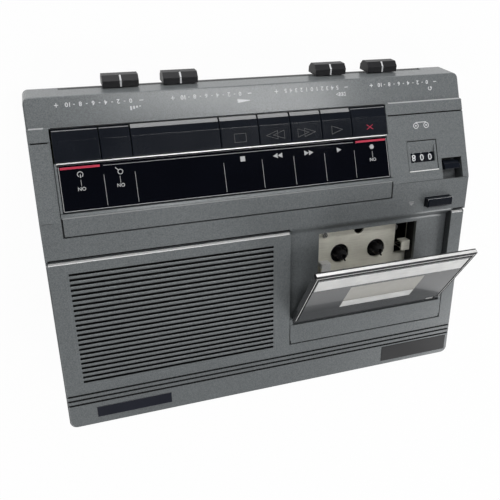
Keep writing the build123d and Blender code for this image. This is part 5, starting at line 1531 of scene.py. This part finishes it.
class PLAYER_OT_sockets(bpy.types.Operator):
    """Turn the bright collars of the rear sockets"""
    bl_idname = "player.sockets"
    bl_label = "Sockets"

    COLLARS = {
        "earphone_jack": mm(1.95, 3.0),
        "foot_control_jack": mm(4.75, 5.8),
        "dc_jack": mm(2.95, 4.2)}
    DEPTH = 1.2 * MM
    LIP = 0.25 * MM

    def execute(self, context):
        deep, lip = -self.DEPTH, self.LIP
        for jack, (r0, r1) in self.COLLARS.items():
            low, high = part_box(jack)
            mouth = Vector(((low[0] + high[0]) / 2, high[1], (low[2] + high[2]) / 2))
            profile = [(r0, deep), (r1, deep), (r1, lip / 2), (r1 - lip, lip), (r0 + lip, lip), (r0, lip / 2)]
            solid = bmesh.new()
            add_turned(solid, mouth, Vector((0, 1, 0)), profile)
            bmesh.ops.recalc_face_normals(solid, faces=solid.faces[:])
            make_piece(jack + "_collar", solid, "silver_trim", "housing")
        return {"FINISHED"}


class PLAYER_OT_stage(bpy.types.Operator):
    """Set the floor, the soft light and the camera"""
    bl_idname = "player.stage"
    bl_label = "Stage"

    LENS = 44.17
    SENSOR = 36.0
    NEAR = 0.01
    EYE = Vector((0.10803, -0.16488, 0.32409))
    RIGHT = Vector((-0.9499, -0.0258, 0.3116))
    UP = Vector((-0.1326, -0.8692, -0.4763))
    BACK = Vector((0.2831, -0.4938, 0.8222))
    FLOOR_REACH = 4.0
    FLOOR = (0.86, 0.86, 0.86)
    FLOOR_TONES = ((0.84, 0.84, 0.84, 1), (0.88, 0.88, 0.88, 1))
    FLOOR_SEEN = 0.97
    HORIZON = (0.10, 0.30)
    GLOW = 0.3
    WALLS = 0.05
    LAMPS = {
        "rear_light": ((0.60, 0.90, 1.00), (0.5, 0.5), 5.5),
        "far_light": ((-1.00, 0.80, 0.90), (0.6, 0.6), 7.0),
        "left_light": ((-1.30, -0.20, 0.90), (0.6, 0.6), 4.0),
        "top_light": ((-0.25, -0.20, 1.70), (0.6, 0.6), 5.0),
        "front_light": ((-0.40, -1.06, 1.19), (0.7, 0.18), 5.8),
        "low_light": ((0.10, -1.6, 0.15), (1.2, 0.25), 11.0),
    }

    def execute(self, context):
        self.floor()
        self.world()
        for name, (place, extent, power) in self.LAMPS.items():
            self.lamp(name, place, extent, power)
        camera = bpy.data.cameras.new("camera")
        camera.lens = self.LENS
        camera.sensor_width = self.SENSOR
        camera.clip_start = self.NEAR
        holder = put("camera", camera)
        turned = Matrix((self.RIGHT, self.UP, self.BACK)).transposed().to_4x4()
        holder.matrix_world = Matrix.Translation(self.EYE) @ turned
        bpy.context.scene.camera = holder
        bpy.context.scene.view_settings.view_transform = "Standard"
        return {"FINISHED"}

    def lamp(self, name, place, extent, power):
        lamp = bpy.data.lights.new(name, "AREA")
        lamp.shape = "RECTANGLE"
        lamp.size, lamp.size_y = extent
        lamp.energy = power
        holder = put(name, lamp)
        holder.location = place
        holder.rotation_euler = (-Vector(place)).to_track_quat("-Z", "Y").to_euler()

    def floor(self):
        """Pale floor that looks white to the camera and in reflections."""
        reach = self.FLOOR_REACH
        corners = [(-reach, -reach, 0), (reach, -reach, 0), (reach, reach, 0), (-reach, reach, 0)]
        mesh = bpy.data.meshes.new("floor")
        mesh.from_pydata(corners, [], [(0, 1, 2, 3)])
        finish = Finish("pale_floor", self.FLOOR, roughness=0.9)
        finish.use(base_color=finish.blend(finish.noise(0.4, 2.0), *self.FLOOR_TONES))
        ray = "ShaderNodeLightPath"
        seen = finish.node(ray, {}, {}, "Is Camera Ray") + finish.node(ray, {}, {}, "Is Glossy Ray")
        glow = finish.node("ShaderNodeEmission", {}, {"Color": (1, 1, 1, 1), "Strength": 1.0})
        plain = Wire(finish, finish.shader.outputs[0])
        mixed = finish.node("ShaderNodeMixShader", {}, {0: self.FLOOR_SEEN * seen, 1: plain, 2: glow})
        finish.feed(finish.tree.nodes["Material Output"], {"Surface": mixed})
        mesh.materials.append(finish.material)
        floor = put("floor", mesh)

    def world(self):
        """White to the camera; for the rest, pale near the horizon with darker walls above."""
        world = bpy.data.worlds.new("studio")
        world.use_nodes = True
        bpy.context.scene.world = world
        sky = NodeTree(world.node_tree)
        way = sky.node("ShaderNodeTexCoord", {}, {}, "Generated")
        height = sky.node("ShaderNodeSeparateXYZ", {}, {"Vector": way}, "Z")
        level = sky.span(height, *self.HORIZON, self.GLOW, self.WALLS)
        seen = sky.node("ShaderNodeLightPath", {}, {}, "Is Camera Ray")
        strength = seen + (1 - seen) * level
        sky.feed(sky.tree.nodes["Background"], {"Color": (1, 1, 1, 1), "Strength": strength})


class PLAYER_PT_panel(bpy.types.Panel):
    """Sizes, colours and steps of the dressing"""
    bl_idname = "PLAYER_PT_panel"
    bl_label = "Cassette player"
    bl_space_type = "VIEW_3D"
    bl_region_type = "UI"
    bl_category = "Player"

    def draw(self, context):
        for group in (context.scene.player_sizes, context.scene.player_colours):
            box = self.layout.box()
            for key in group.__annotations__:
                box.prop(group, key)
        for step in STEPS:
            self.layout.operator(step.bl_idname)


STEPS = (
    PLAYER_OT_stage, PLAYER_OT_finishes, PLAYER_OT_grille, PLAYER_OT_screws, PLAYER_OT_keys,
    PLAYER_OT_label_panel, PLAYER_OT_scales, PLAYER_OT_knobs, PLAYER_OT_counter, PLAYER_OT_door,
    PLAYER_OT_lines, PLAYER_OT_buttons, PLAYER_OT_well, PLAYER_OT_plates, PLAYER_OT_sockets)
CLASSES = (PlayerSizes, PlayerColours, *STEPS, PLAYER_PT_panel)


def register():
    for item in CLASSES:
        bpy.utils.register_class(item)
    bpy.types.Scene.player_sizes = PointerProperty(type=PlayerSizes)
    bpy.types.Scene.player_colours = PointerProperty(type=PlayerColours)


def unregister():
    del bpy.types.Scene.player_colours
    del bpy.types.Scene.player_sizes
    for item in reversed(CLASSES):
        bpy.utils.unregister_class(item)


def main():
    register()
    for step in STEPS:
        group, name = step.bl_idname.split(".")
        getattr(getattr(bpy.ops, group), name)()


if __name__ == "__main__":
    main()
